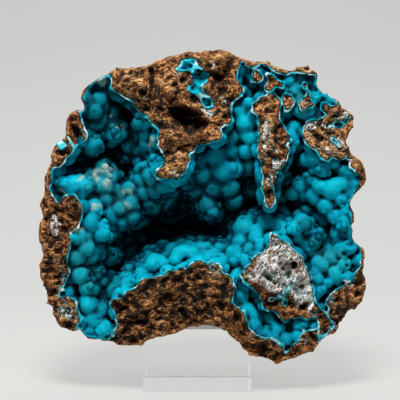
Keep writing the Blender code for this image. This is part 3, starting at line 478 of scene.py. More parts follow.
# Patches where the crust is its own greyish green, where painted light brightens it, or where a painted shadow
# darkens it, given in the same way
DULL_PATCHES = [
    (-46, 92, 10, 11, 0), (-36, 86, 8, 9, 0), (-42, 121, 7, 7, 0), (-55, 58, 8, 20, 0),
    (-33, 113, 6, 8, 0), (-24, 93, 7, 9, 0),
    (44, 133, 9, 12, 0), (60, 58, 10, 9, 0), (-45, 140, 6, 5, 0), (-36, 86, 9, 9, 0), (49, 36, 6, 8, 0),
]
# Painted light: bright turquoise laid on where the crust stands in the light
PAINTED_LIGHT_PATCHES = [
    (-8, 62, 26, 7, 8), (14, 55, 6, 12, -20), (22, 40, 4, 12, -20), (24, 72, 14, 8, 0),
    (38, 74, 10, 6, 0), (34, 29, 8, 4, 0), (18, 118, 7, 12, 0),
    (41, 137, 8, 6, 0), (-33, 47, 9, 6, 25), (-58, 95, 5, 3.4, 0), (58, 93, 8, 6, 0), (62, 57, 8, 7, 0),
    (-58, 72, 3, 7, 0),
    (50, 134, 4, 4, 0), (-61, 111, 4, 4, 0), (4, 116, 8, 2.6, 0), (-46, 28, 7, 4, 0), (-56, 40, 3, 10, 0),
]
# Painted shadow: dark teal laid on where shade falls, under overhangs and below lumps
PAINTED_SHADOW_PATCHES = [
    (6, 87, 15, 14, 0), (-48, 127, 10, 14, 0), (-52, 104, 7, 4, 0), (-30, 102, 6, 4, 0),
    (-46, 48, 7, 10, 0), (-3, 76, 20, 8, 0), (-44, 106, 10, 10, 0), (-33, 124, 9, 12, -30),
    (-38, 132, 6, 9, 0), (-15, 76, 26, 9, 0), (41, 105, 6, 7, 0), (21, 95, 4.5, 11, 0),
    (54, 68, 5, 5, 0), (-44, 57, 9, 9, 0), (-46, 133, 9, 9, 0), (-49, 40, 4, 8, 0), (36, 97, 5, 6, 0),
    (30, 33, 5, 3, 0),
    (-22, 85, 8, 8, 0), (48, 76, 6, 4, 0), (-8, 88, 6, 8, 0),
]
# Where the rock is darkest: painted shade in its recesses, cells and under its ledges, and in other places its
# own darker brown
DARK_AND_SHADE_PATCHES = [
    (-8, 121, 11, 9, -8), (-27, 133, 8, 4, -40), (-16, 112, 3, 6, 0), (10, 140, 4, 3.5, 0),
    (-14, 128.6, 9, 2.6, 0), (-23.5, 139, 1.4, 7, 0), (-58, 119, 2.4, 3.0, 0),
    (-31, 34, 10, 6, 10), (-6, 36, 14, 4.5, 0), (-22, 48.5, 12, 2.0, 18), (8, 45, 6, 5, 0),
    (30.5, 40.5, 5.6, 3.6, -10),
    (56.5, 120.8, 3.0, 2.4, 0), (60, 114, 4.4, 1.4, -40), (-65, 52, 4, 4, 0), (-68.5, 68, 3.6, 3.6, 0),
    (36, 24, 9, 3.5, 0),
    (62.5, 34, 5, 5.5, 0), (30, 92, 2.2, 6, 0), (-64.6, 109, 3, 3, 0), (52, 112, 3, 1.6, -30),
]


def hexed(code):
    """A colour as the web writes it, as the linear values the shaders use."""
    parts = [int(code[i:i + 2], 16) / 255 for i in (1, 3, 5)]
    linear = [p / 12.92 if p <= 0.04045 else ((p + 0.055) / 1.055) ** 2.4 for p in parts]
    return (*linear, 1.0)


def seen_from(x, y, z):
    """Where places appear against the plane of the break."""
    nearness = 1.0 / (1.0 + (y - FRONT_Y) / EYE_AWAY)
    seen_x = (x - EYE_AIM[0]) * nearness + EYE_AIM[0]
    seen_z = (z - EYE_AIM[1] + (y - FRONT_Y) * math.tan(EYE_RISE)) * nearness + EYE_AIM[1]
    return seen_x, seen_z


def placed(seen_x, seen_z, y):
    """The place at a depth that appears where the tables say."""
    wider = 1.0 + (y - FRONT_Y) / EYE_AWAY
    x = (seen_x - EYE_AIM[0]) * wider + EYE_AIM[0]
    z = (seen_z - EYE_AIM[1]) * wider + EYE_AIM[1] - (y - FRONT_Y) * math.tan(EYE_RISE)
    return x, z


# The grid, and noise and distances on it

GRID_CORNERS = ((-78.0, -51.0, 9.6), (78.0, 49.0, 158.4))
WHOLE = (slice(None),) * 3


class Grid:
    """A block of points, evenly spaced, that every field is worked out on."""

    def __init__(self, step):
        self.step = step
        self.low, high = np.array(GRID_CORNERS, dtype=np.float32)
        self.count = tuple(int(math.ceil((b - a) / step)) + 1 for a, b in zip(self.low, high))
        self.xs, self.ys, self.zs = (
            (self.low[i] + step * np.arange(self.count[i])).astype(np.float32) for i in range(3)
        )
        self.x = self.xs[:, None, None]
        self.y = self.ys[None, :, None]
        self.z = self.zs[None, None, :]

    def around(self, centre, reach):
        """The part of the grid within reach of a place, as slices."""
        cuts = []
        for i in range(3):
            first = int(math.floor((centre[i] - reach[i] - self.low[i]) / self.step))
            last = int(math.ceil((centre[i] + reach[i] - self.low[i]) / self.step)) + 1
            cuts.append(slice(max(0, first), max(0, min(self.count[i], last))))
        return tuple(cuts)

    def offsets(self, place, cut=WHOLE):
        """How far the grid's points lie from a place, in x, y and z."""
        return self.x[cut[0]] - place[0], self.y[:, cut[1]] - place[1], self.z[:, :, cut[2]] - place[2]

    def away(self, place, cut=WHOLE, sizes=(1.0, 1.0, 1.0)):
        """How far they lie from it in a straight line, each direction measured in a size of its own."""
        dx, dy, dz = self.offsets(place, cut)
        return np.sqrt((dx / sizes[0]) ** 2 + (dy / sizes[1]) ** 2 + (dz / sizes[2]) ** 2)

    def sampled(self, field, places):
        """Values of a field at any places, between its grid points."""
        at = (places - self.low) / self.step
        base = np.clip(np.floor(at).astype(np.int32), 0, np.array(self.count) - 2)
        part = np.clip(at - base, 0.0, 1.0).astype(np.float32)
        total = np.zeros(len(places), dtype=np.float32)
        for corner in range(8):
            offset = np.array([(corner >> k) & 1 for k in range(3)])
            i, j, k = (base + offset).T
            weight = np.prod(np.where(offset, part, 1.0 - part), axis=1)
            total += weight * field[i, j, k]
        return total


def eased(amount, part):
    """An amount that comes in smoothly as a part goes from 0 to 1."""
    return amount * part * part * (3.0 - 2.0 * part)


def bell(away):
    """A smooth bell, two wide on either side of nought."""
    near = 2.0 / 3.0 - away ** 2 + 0.5 * away ** 3
    far = np.clip(2.0 - away, 0.0, None) ** 3 / 6.0
    return np.where(away < 1.0, near, far).astype(np.float32)


def weights(places, low, spacing, count):
    """How much each point of a loose lattice counts at each place."""
    at = (places - low) / spacing
    return bell(np.abs(at[:, None] - np.arange(count)[None, :]))


def noise(grid, spacing, seed):
    """Smooth noise over the grid, about -1 to 1, with features of the spacing given for x, y and z."""
    spans = [(grid.xs, spacing[0]), (grid.ys, spacing[1]), (grid.zs, spacing[2])]
    counts = [int((places[-1] - places[0]) / gap) + 5 for places, gap in spans]
    lattice = np.random.default_rng(seed).uniform(-1.0, 1.0, counts).astype(np.float32) * NOISE_GAIN
    field = lattice
    for (places, gap), count in zip(reversed(spans), reversed(counts)):
        field = np.tensordot(weights(places, places[0] - 2 * gap, gap, count), field, axes=(1, 2))
    return field


def flat_noise(grid, spacing, seed, slant=0.0):
    """Smooth noise over x and z, its grain turned by the slant in degrees."""
    turn = math.radians(slant)
    across = grid.xs[:, None] * math.cos(turn) + grid.zs[None, :] * math.sin(turn)
    up = -grid.xs[:, None] * math.sin(turn) + grid.zs[None, :] * math.cos(turn)
    us = (across / spacing[0]).ravel()
    vs = (up / spacing[1]).ravel()
    us -= us.min() - 2.0
    vs -= vs.min() - 2.0
    size = (int(us.max()) + 4, int(vs.max()) + 4)
    lattice = np.random.default_rng(seed).uniform(-NOISE_GAIN, NOISE_GAIN, size).astype(np.float32)
    i0, j0 = np.floor(us).astype(int), np.floor(vs).astype(int)
    total = np.zeros(len(us), dtype=np.float32)
    for di in (-1, 0, 1, 2):
        for dj in (-1, 0, 1, 2):
            i, j = i0 + di, j0 + dj
            total += bell(np.abs(us - i)) * bell(np.abs(vs - j)) * lattice[i, j]
    return total.reshape(across.shape)


def flat_distance(outline, xs, zs):
    """How far inside an outline each place is, less than nought outside it."""
    x, z = np.meshgrid(xs, zs, indexing="ij")
    best = np.full(x.shape, 1e9, dtype=np.float32)
    inside = np.zeros(x.shape, dtype=bool)
    for (ax, az), (bx, bz) in zip(outline, outline[1:] + outline[:1]):
        dx, dz = bx - ax, bz - az
        t = np.clip(((x - ax) * dx + (z - az) * dz) / (dx * dx + dz * dz), 0.0, 1.0)
        best = np.minimum(best, (x - ax - t * dx) ** 2 + (z - az - t * dz) ** 2)
        if az != bz:
            crossing = (az > z) != (bz > z)
            inside ^= crossing & (x < (bx - ax) * (z - az) / (bz - az) + ax)
    return np.where(inside, 1.0, -1.0).astype(np.float32) * np.sqrt(best)


def wander(x, z, size, seed):
    """A smooth wandering of places, a sum of waves in many directions."""
    chance = np.random.default_rng(seed)
    total = 0.0
    for _ in range(9):
        turn = chance.uniform(0, math.pi)
        length = chance.uniform(0.55, 1.6) * size
        start = chance.uniform(0, 6.3)
        total = total + np.sin((x * math.cos(turn) + z * math.sin(turn)) * 2 * math.pi / length + start)
    return total / 3.0


def blob(x, z, place):
    """A soft patch of ragged shape, 1 in its middle: x, z, half width, half height, tilt last."""
    turn = math.radians(place[-1])
    least = min(place[2], place[3])
    ragged_by = min(2.2, 0.45 * least)
    wave = 2.6 * least + 2.0
    dx = x - place[0] + ragged_by * wander(x, z, wave, 3)
    dz = z - place[1] + ragged_by * wander(x, z, wave, 4)
    u = (dx * math.cos(turn) + dz * math.sin(turn)) / place[2]
    v = (-dx * math.sin(turn) + dz * math.cos(turn)) / place[3]
    return np.clip(1.0 - (u * u + v * v), 0.0, 1.0)


def middle_of(line):
    """The middle of an outline's points."""
    return sum(p[0] for p in line) / len(line), sum(p[1] for p in line) / len(line)


def smooth_least(a, b, round_by):
    """The lesser of two fields, with the corner between them rounded."""
    blend = np.clip(0.5 + 0.5 * (b - a) / round_by, 0.0, 1.0)
    return b + (a - b) * blend - round_by * blend * (1.0 - blend)


class Fields:
    """Distances into the nodule, the rock, the hollow and the crust, in millimetres, and marks on them."""

    def __init__(self, grid, crust, seed):
        self.grid = grid
        self.edges = flat_noise(grid, (2.6, 2.6), seed + 9) * 0.45
        self.edges = self.edges + flat_noise(grid, (1.1, 1.1), seed + 10) * 0.3
        self.flats = {
            name: flat_distance(line, grid.xs, grid.zs) + self.edges for name, (_, _, line) in FACES.items()
        }
        outline = flat_distance(OUTLINE, grid.xs, grid.zs) + 0.5
        self.break_off(seed)
        self.round_off(outline, seed)
        self.hollow_out(outline, seed)
        self.line_walls(crust, seed)
        self.line_pockets(seed)

    def break_off(self, seed):
        """The front: proud in the middle, falling back to the outline, rough, stepped and layered."""
        g = self.grid
        flat_x, flat_z = g.xs[:, None], g.zs[None, :]
        away = (flat_x / FRONT_RADIUS) ** 2 + ((flat_z - FRONT_MIDDLE[1]) / FRONT_RADIUS) ** 2
        front = FRONT_Y + FRONT_FALL * away
        for place in RELIEFS:
            front = front - eased(place[4], blob(flat_x, flat_z, (*place[:4], place[5])))
        for depth, slope, line in HOLLOWS:
            ragged = flat_distance(line, g.xs, g.zs) + 0.7 * flat_noise(g, (3.4, 3.0), seed + 13)
            front = front + eased(depth, np.clip(ragged / slope, 0.0, 1.0))
        front = front + 1.3 * flat_noise(g, (11.0, 9.0), seed) - 1.6
        front = front + 2.6 * np.abs(flat_noise(g, (5.6, 3.8), seed + 1, 20.0))
        front = front + 1.9 * np.abs(flat_noise(g, (2.8, 2.0), seed + 2, -20.0))
        front = front + 0.6 * flat_noise(g, (1.4, 1.3), seed + 3)
        front = front + np.clip(flat_noise(g, (2.0, 1.5), seed + 12) - 0.40, 0.0, 0.8) * 2.4
        self.layer = np.zeros(front.shape, dtype=np.float32)
        bands = np.random.default_rng(seed + 15).uniform(-1.0, 1.0, LAYER_COUNT)
        levels = np.arange(LAYER_COUNT) - LAYER_COUNT / 2
        warp = 1.6 * flat_noise(g, (12.0, 9.0), seed + 16) + 0.5 * flat_noise(g, (4.0, 3.0), seed + 17)
        for name, (strength, thick, slant) in LAYERS.items():
            turn = math.radians(slant or 0.0)
            flat = self.flats[name]
            level = flat if slant is None else flat_z * math.cos(turn) - flat_x * math.sin(turn)
            layer = np.interp((level + warp) / thick, levels, bands)
            self.layer += strength * layer * np.clip(flat + 0.5, 0.0, 1.0)
        front = front + LAYER_RELIEF * self.layer
        self.front = -smooth_least(-front, FRONT_LIMIT, 1.0).astype(np.float32)
        self.behind_front = g.y - self.front[:, None, :]

    def round_off(self, outline, seed):
        """The nodule: the outline rules at the break, and a rounded, weathered body runs back behind it."""
        g = self.grid
        px, py, pz = g.offsets(NODULE_CENTRE)
        calm = blob(g.xs[:, None], g.zs[None, :], SMOOTH_SHOULDER)
        ragged = 1.0 - 0.7 * np.clip(2.0 * calm, 0.0, 1.0)
        ragged = ragged[:, None, :] * (
            0.9 * noise(g, (1.8, 1.8, 1.8), seed + 18) + 0.9 * noise(g, (4.0, 5.0, 4.0), seed + 19)
        )
        flat_seen = self.drawn_back(outline, FRONT_MIDDLE, FRONT_Y, BACK_Y, 0.0)
        depth = np.clip(py / NODULE_RADII[1], 0.0, None)
        round_part = np.sqrt((px / NODULE_RADII[0]) ** 2 + (pz / NODULE_RADII[2]) ** 2)
        flat_part = np.clip(1.0 - flat_seen / NODULE_REACH, 0.0, None)
        blend = np.clip((g.y + 38.0) / 30.0, 0.0, 1.0)
        round_part = flat_part + eased(round_part - flat_part, blend)
        body = (1.0 - np.sqrt(round_part ** 2 + depth ** 2)) * NODULE_REACH
        weather = 1.6 * noise(g, (15.0, 15.0, 13.0), seed + 4) + 0.9 * noise(g, (6.0, 6.0, 5.5), seed + 5)
        weather += 0.45 * noise(g, (2.6, 2.6, 2.4), seed + 6)
        deep = np.clip((g.y + 40.0) / 14.0, 0.0, 1.0)
        body = body + weather * (0.1 + 0.9 * deep) + ragged * (1.0 - 0.5 * deep)
        side = self.drawn_back(outline, FRONT_MIDDLE, FRONT_Y, BACK_Y, 0.06)
        body = smooth_least(body, side + 1.0 + weather * 0.8 * deep + ragged, 2.0)
        body = body - np.clip(noise(g, (2.2, 2.2, 2.2), seed + 7) - 0.6, 0.0, 1.0) * 2.6
        self.nodule = body.astype(np.float32)
        self.stone = np.minimum(self.nodule, self.behind_front)

    def hollow_out(self, outline, seed):
        """The hollow, less what stands and hangs in it, and the small cells of the broken face."""
        g = self.grid
        mouth = self.drawn_back(outline, FRONT_MIDDLE, FRONT_Y, -20.0, 0.10) + 1.5
        hollow = np.minimum(mouth, -18.0 - g.y)
        for x, y, z, *sizes in CHAMBERS + DEEPER:
            part = g.away((x, y, z), sizes=sizes)
            hollow = np.maximum(hollow, (1.0 - part) * min(sizes))
        hollow += 1.3 * noise(g, (12.0, 12.0, 12.0), seed + 8)
        for x, y, z, *sizes in BOSSES:
            sizes = [size * slimmed for size, slimmed in zip(sizes, BOSS_SLIMMING)]
            cut = g.around((x, y, z), [size + 4 for size in sizes])
            part = g.away((x, y, z), cut, sizes)
            hollow[cut] = smooth_least(hollow[cut], (part - 1.0) * min(sizes), 3.0)
        sideways = np.abs(g.x - FLOOR_MIDDLE[0]) - FLOOR_HALF[0]
        lengthways = np.abs(g.y - FLOOR_MIDDLE[1]) - FLOOR_HALF[1]
        above_floor = np.maximum(np.maximum(sideways, lengthways), g.z - FLOOR_TOP)
        hollow = smooth_least(hollow, above_floor, 4.0)
        self.wall_lumps(hollow)
        self.seam = np.full((g.count[0], g.count[2]), -99.0, dtype=np.float32)
        for name, (back, narrowing, line) in FACES.items():
            self.seam = np.maximum(self.seam, self.flats[name])
            standing = self.drawn_back(self.flats[name], middle_of(line), FRONT_Y + 2.0, back, narrowing)
            hollow = np.minimum(hollow, -np.minimum(standing, back - g.y))
        for x, z, rx, rz, depth, tilt in CELLS:
            y = float(np.interp(x, g.xs, self.front[:, int((z - g.low[2]) / g.step)]))
            turn = math.radians(tilt)
            reach = max(rx, rz) + 2
            cut = g.around((x, y, z), (reach, depth + 2, reach))
            dx, dy, dz = g.offsets((x, y, z), cut)
            u = (dx * math.cos(turn) + dz * math.sin(turn)) / (rx + 0.5)
            v = (-dx * math.sin(turn) + dz * math.cos(turn)) / (rz + 0.5)
            part = np.sqrt(u * u + v * v + (dy / depth) ** 2) + 0.5 * self.edges[cut[0], cut[2]][:, None, :]
            hollow[cut] = np.maximum(hollow[cut], (1.0 - part) * (min(rx, rz) + 0.5))
        rim = self.nodule - RIM_WALL - np.clip(self.behind_front - 2.0, 0.0, 7.0) * 0.35
        self.hollow = np.minimum(hollow, rim).astype(np.float32)

    def line_walls(self, crust, seed):
        """The crust on the hollow's walls, with lumps standing out of it, and how shut in each place is."""
        g = self.grid
        self.ripple = noise(g, (1.9, 1.9, 1.9), seed + 11)
        skin = crust + 0.35 * self.ripple - self.hollow
        for x, z, y, radius in LUMPS:
            y = self.behind(x, z, y)
            x, z = placed(x, z, y + radius)
            cut = g.around((x, y + radius, z), (radius + 1.5,) * 3)
            lump = radius - g.away((x, y + radius, z), cut) + 0.28 * self.ripple[cut]
            skin[cut] = -smooth_least(-skin[cut], -lump, 0.9)
        self.wall_knobs(skin, seed)
        crust_field = np.minimum(skin.astype(np.float32), self.hollow - CRUST_GAP)
        self.crust = np.minimum(crust_field, self.behind_front + CRUST_PROUD)
        whole = np.maximum(self.crust, np.minimum(self.stone, -self.hollow))
        # How shut in each place is, for painted shade in corners and painted highlights on crests
        self.shut = {reach: shut_in(whole, g, reach) for reach in (CORNER_REACH, CAVE_REACH)}

    def line_pockets(self, seed):
        """The little pockets cut from the stone, and the pebbly crust of each."""
        g = self.grid
        self.pockets = {}
        pebbles = noise(g, (3.6, 3.6, 3.6), seed + 21)
        for name, _, line, deep in POCKETS:
            flat = flat_distance(line, g.xs, g.zs) + 1.3 * self.edges
            space = self.drawn_back(flat, middle_of(line), FRONT_Y, FRONT_Y + 12.0, 0.12)
            space = np.minimum(space, deep - self.behind_front)
            self.stone = np.minimum(self.stone, -space)
            lining = np.minimum(space - CRUST_GAP, 1.2 + 0.9 * self.ripple + 0.7 * pebbles - space)
            self.pockets[name] = np.minimum(lining, self.behind_front + CRUST_PROUD).astype(np.float32)

    def behind(self, x, z, y):
        """A depth, or just behind the broken face where that lies further back."""
        i, k = int((x - self.grid.low[0]) / self.grid.step), int((z - self.grid.low[2]) / self.grid.step)
        return max(y, float(self.front[i, k]) + 0.8)

    def drawn_back(self, flat, middle, front, back, narrowing):
        """An outline's distances carried back through the depth, narrowing about its middle."""
        g = self.grid
        made = np.empty(g.count, dtype=np.float32)
        for j, y in enumerate(g.ys):
            part = min(1.0, max(0.0, (y - front) / (back - front)))
            scale = 1.0 - narrowing * part
            seen_x, seen_z = seen_from(g.xs, y, g.zs)
            at_x = (seen_x - middle[0]) / scale + middle[0]
            at_z = (seen_z - middle[1]) / scale + middle[1]
            made[:, j, :] = table(flat, g, at_x, at_z) * scale
        return made

    def flat_at(self, flat, places):
        """A flat table's values at places, seen from the front."""
        g = self.grid
        i = np.clip(((places[:, 0] - g.low[0]) / g.step).round().astype(int), 0, g.count[0] - 1)
        k = np.clip(((places[:, 2] - g.low[2]) / g.step).round().astype(int), 0, g.count[2] - 1)
        return flat[i, k]

    def wall_knobs(self, skin, seed):
        """Lumps of middling size all over the wall of the hollow, kept apart from one another."""
        g = self.grid
        at = np.argwhere((np.abs(self.hollow - 0.8) < 0.35) & (self.behind_front > 5.5))
        chance = np.random.default_rng(seed + 14)
        chance.shuffle(at)
        taken = set()
        for spot in at[:KNOB_TRIES]:
            cell = tuple(index * g.step // KNOB_SPACING for index in spot)
            if cell in taken:
                continue
            taken.add(cell)
            place = (g.xs[spot[0]], g.ys[spot[1]], g.zs[spot[2]])
            radius = chance.uniform(*KNOB_RADII)
            cut = g.around(place, (radius + 1.2,) * 3)
            knob = g.away(place, cut) - radius - 0.25 * self.ripple[cut]
            skin[cut] = -smooth_least(-skin[cut], knob, 0.9)

    def wall_lumps(self, hollow):
        """The rock behind each standing lump, widening as it runs back into the wall."""
        g = self.grid
        for x, z, y, radius in LUMPS:
            y = self.behind(x, z, y)
            x, z = placed(x, z, y + radius)
            reach = radius + 5.0
            cut = g.around((x, y + 16.0, z), (reach, 17.0, reach))
            dx, dy, dz = g.offsets((x, y + radius * 1.5, z), cut)
            size = radius * 0.5 + 0.13 * np.clip(dy, 0.0, None)
            away = np.sqrt(dx * dx + dz * dz + np.clip(-dy, 0.0, None) ** 2) - size
            hollow[cut] = smooth_least(hollow[cut], away, 1.5)


def table(flat, grid, at_x, at_z):
    """A flat table of distances read at other places, straight lines between its points."""
    fx = np.clip((at_x - grid.low[0]) / grid.step, 0, grid.count[0] - 1.001)
    fz = np.clip((at_z - grid.low[2]) / grid.step, 0, grid.count[2] - 1.001)
    i, k = fx.astype(int), fz.astype(int)
    tx, tz = (fx - i)[:, None].astype(np.float32), (fz - k)[None, :].astype(np.float32)
    a, b = flat[np.ix_(i, k)], flat[np.ix_(i + 1, k)]
    c, d = flat[np.ix_(i, k + 1)], flat[np.ix_(i + 1, k + 1)]
    return (a * (1 - tx) + b * tx) * (1 - tz) + (c * (1 - tx) + d * tx) * tz


# From fields to meshes


def joined_parts(count, edges):
    """Which connected part each vertex is in."""
    label = np.arange(count)
    while True:
        least = np.minimum(label[edges[:, 0]], label[edges[:, 1]])
        fresh = label.copy()
        np.minimum.at(fresh, edges[:, 0], least)
        np.minimum.at(fresh, edges[:, 1], least)
        fresh = fresh[fresh]
        fresh = fresh[fresh]
        if (fresh == label).all():
            return label
        label = fresh


def meshed(grid, field, coarseness, crumb):
    """The surface where a field is nought, as places and triangles, its parts smaller than a crumb dropped."""
    reach = 3.0 * grid.step
    values = np.clip(-field, -reach, reach).astype(np.float32)
    for side in (0, -1):
        values[side] = reach
        values[:, side] = reach
        values[:, :, side] = reach
    sheet = openvdb.FloatGrid(reach)
    sheet.copyFromArray(values)
    places, triangles, quads = sheet.convertToPolygons(isovalue=0.0, adaptivity=coarseness)
    places = places.astype(np.float64) * grid.step + grid.low
    quads = quads.astype(np.int64)
    faces = np.concatenate([triangles.astype(np.int64), quads[:, [0, 1, 2]], quads[:, [0, 2, 3]]])
    a, b, c = (places[faces[:, i]] for i in range(3))
    if np.einsum("ij,ij->i", a, np.cross(b, c)).sum() < 0:
        faces = faces[:, ::-1]
    edges = np.concatenate([faces[:, [0, 1]], faces[:, [1, 2]]])
    label = joined_parts(len(places), edges)
    sizes = np.bincount(label, minlength=len(places))
    keep = sizes[label] >= crumb
    number = np.cumsum(keep) - 1
    faces = number[faces[keep[faces[:, 0]]]]
    return places[keep], faces


def shut_in(solid, grid, reach):
    """How much of the space within reach of each grid point is solid, 0 to 1."""
    share = np.clip(0.5 + solid / (2.0 * grid.step), 0.0, 1.0).astype(np.float32)
    half = max(1, int(round(reach / grid.step)))
    for _ in range(2):
        for axis in range(3):
            padding = [(0, 0)] * 3
            padding[axis] = (half + 1, half)
            total = np.cumsum(np.pad(share, padding, mode="edge"), axis=axis, dtype=np.float32)
            count = share.shape[axis]
            first, last = [slice(None)] * 3, [slice(None)] * 3
            first[axis], last[axis] = slice(0, count), slice(2 * half + 1, 2 * half + 1 + count)
            share = (total[tuple(last)] - total[tuple(first)]) / (2 * half + 1)
    return share


def creases(places, faces, rounds):
    """How deep in a fold each vertex lies, in millimetres, less than nought on a crest."""
    edges = np.concatenate([faces[:, [0, 1]], faces[:, [1, 2]], faces[:, [2, 0]]])
    degree = np.maximum(np.bincount(edges[:, 0], minlength=len(places)), 1)
    normal = np.zeros_like(places)
    a, b, c = (places[faces[:, i]] for i in range(3))
    face_normal = np.cross(b - a, c - a)
    for axis in range(3):
        for corner in range(3):
            normal[:, axis] += np.bincount(faces[:, corner], face_normal[:, axis], len(places))
    normal /= np.maximum(np.linalg.norm(normal, axis=1), 1e-9)[:, None]
    smooth = places.copy()
    for _ in range(rounds):
        smooth = np.stack([
            np.bincount(edges[:, 0], smooth[edges[:, 1], axis], len(places)) / degree for axis in range(3)
        ], axis=1)
    return ((smooth - places) * normal).sum(axis=1)


def added(name, data):
    """An object in the scene that shows a mesh, a lamp or a camera."""
    thing = bpy.data.objects.new(name, data)
    bpy.context.scene.collection.objects.link(thing)
    return thing


def piece_from(name, places, faces, marks, shade):
    """A finished piece of the object, its marks kept as numbers on its vertices."""
    mesh = bpy.data.meshes.new(name)
    mesh.vertices.add(len(places))
    mesh.vertices.foreach_set("co", ((places + SHIFT) * MM).astype(np.float32).ravel())
    mesh.loops.add(len(faces) * 3)
    mesh.loops.foreach_set("vertex_index", faces.astype(np.int32).ravel())
    mesh.polygons.add(len(faces))
    mesh.polygons.foreach_set("loop_start", np.arange(0, len(faces) * 3, 3, dtype=np.int32))
    mesh.polygons.foreach_set("use_smooth", np.full(len(faces), True))
    for mark, values in marks.items():
        made = mesh.attributes.new(mark, "FLOAT", "POINT")
        made.data.foreach_set("value", values.astype(np.float32))
    mesh.update(calc_edges=True)
    mesh.validate()
    mesh.materials.append(shade)
    return added(name, mesh)


def patches(places, listed):
    """The most that any patch of a list covers each place."""
    total = np.zeros(len(places))
    for place in listed:
        total = np.maximum(total, blob(places[:, 0], places[:, 2], place))
    return total


def hemmed_in(made, places, reach=CORNER_REACH, level=0.47, gain=3.2):
    """How much more than a level of the surroundings is solid, -1 to 1."""
    return np.clip(gain * (made.grid.sampled(made.shut[reach], places) - level), -1.0, 1.0)


STORE = {}


def fields(settings):
    """The fields, worked out once for the settings."""
    step = settings.step * 1.0
    key = (step, settings.crust, settings.seed)
    if STORE.get("key") != key:
        STORE["key"] = key
        STORE["fields"] = Fields(Grid(step), settings.crust, settings.seed)
    return STORE["fields"]


# Materials


class Nodes:
    """A node tree and short ways to add to it."""

    def __init__(self, tree):
        self.tree = tree

    def node(self, kind, **settings):
        made = self.tree.nodes.new(kind)
        for name, value in settings.items():
            setattr(made, name, value)
        return made

    def link(self, source, target):
        self.tree.links.new(source, target)

    def maths(self, operation, a, b):
        """Two values worked on together; each may be a number or a socket."""
        made = self.node("ShaderNodeMath", operation=operation)
        for socket, value in zip(made.inputs, (a, b)):
            if isinstance(value, float):
                socket.default_value = value
            else:
                self.link(value, socket)
        return made.outputs["Value"]

    def split(self, vector):
        """The x, y and z of a vector."""
        made = self.node("ShaderNodeSeparateXYZ")
        self.link(vector, made.inputs["Vector"])
        return made.outputs


class Shade(Nodes):
    """A material and short ways to add to it."""

    def __init__(self, name):
        self.made = bpy.data.materials.new(name)
        self.made.use_nodes = True
        super().__init__(self.made.node_tree)
        self.shader = self.tree.nodes["Principled BSDF"]

    def place(self):
        """Where a point lies on the piece, in metres."""
        return self.node("ShaderNodeTexCoord").outputs["Object"]

    def mark(self, name):
        """A number kept on the vertices."""
        return self.node("ShaderNodeAttribute", attribute_name=name).outputs["Fac"]

    def noise(self, size, detail=3.0, roughness=0.55, stretch=(1.0, 1.0, 1.0), turn=0.0, shift=0.0):
        """Noise with features of about this many millimetres."""
        turned = self.node("ShaderNodeMapping", vector_type="TEXTURE")
        turned.inputs["Rotation"].default_value = (0.0, math.radians(turn), 0.0)
        turned.inputs["Scale"].default_value = stretch
        turned.inputs["Location"].default_value = (shift * MM,) * 3
        self.link(self.place(), turned.inputs["Vector"])
        made = self.node("ShaderNodeTexNoise")
        made.inputs["Scale"].default_value = 1.0 / (size * MM)
        made.inputs["Detail"].default_value = detail
        made.inputs["Roughness"].default_value = roughness
        self.link(turned.outputs["Vector"], made.inputs["Vector"])
        return made.outputs["Fac"]

    def cells(self, size):
        """How far each place is from the middle of its cell."""
        made = self.node("ShaderNodeTexVoronoi")
        made.inputs["Scale"].default_value = 1.0 / (size * MM)
        self.link(self.place(), made.inputs["Vector"])
        return made.outputs["Distance"]

    def ranged(self, value, low, high, to_low=0.0, to_high=1.0):
        """A value carried smoothly from one range to another, and held at its ends."""
        made = self.node("ShaderNodeMapRange", interpolation_type="SMOOTHSTEP")
        made.inputs["From Min"].default_value = low
        made.inputs["From Max"].default_value = high
        made.inputs["To Min"].default_value = to_low
        made.inputs["To Max"].default_value = to_high
        self.link(value, made.inputs["Value"])
        return made.outputs["Result"]

    def sum_with(self, value, other, weight):
        """A value and so much of another."""
        return self.maths("ADD", value, self.maths("MULTIPLY", other, weight))

    def ramp(self, value, stops):
        """Colours along a value, each stop a place and a colour's code."""
        made = self.node("ShaderNodeValToRGB")
        band = made.color_ramp
        band.elements[0].position, band.elements[0].color = stops[0][0], hexed(stops[0][1])
        band.elements[1].position, band.elements[1].color = stops[-1][0], hexed(stops[-1][1])
        for place, code in stops[1:-1]:
            band.elements.new(place).color = hexed(code)
        self.link(value, made.inputs["Fac"])
        return made.outputs["Color"]

    def mixed(self, share, first, second):
        """Two colours mixed; each may be a colour's code or a socket."""
        made = self.node("ShaderNodeMix", data_type="RGBA")
        for socket, value in ((made.inputs[6], first), (made.inputs[7], second)):
            if isinstance(value, str):
                socket.default_value = hexed(value)
            else:
                self.link(value, socket)
        self.link(share, made.inputs[0])
        return made.outputs[2]

    def washed(self, colour, washes):
        """A colour with others laid over it: the mark that each follows, from, to, share and code."""
        for mark, low, high, share, code in washes:
            colour = self.mixed(self.ranged(self.mark(mark), low, high, 0.0, share), colour, code)
        return colour

    def bump(self, height, depth, strength=1.0, under=None):
        """A relief of this many millimetres drawn on the surface, or on a relief drawn before."""
        made = self.node("ShaderNodeBump")
        made.inputs["Strength"].default_value = strength
        made.inputs["Distance"].default_value = depth * MM
        self.link(height, made.inputs["Height"])
        if under is not None:
            self.link(under, made.inputs["Normal"])
        return made.outputs["Normal"]


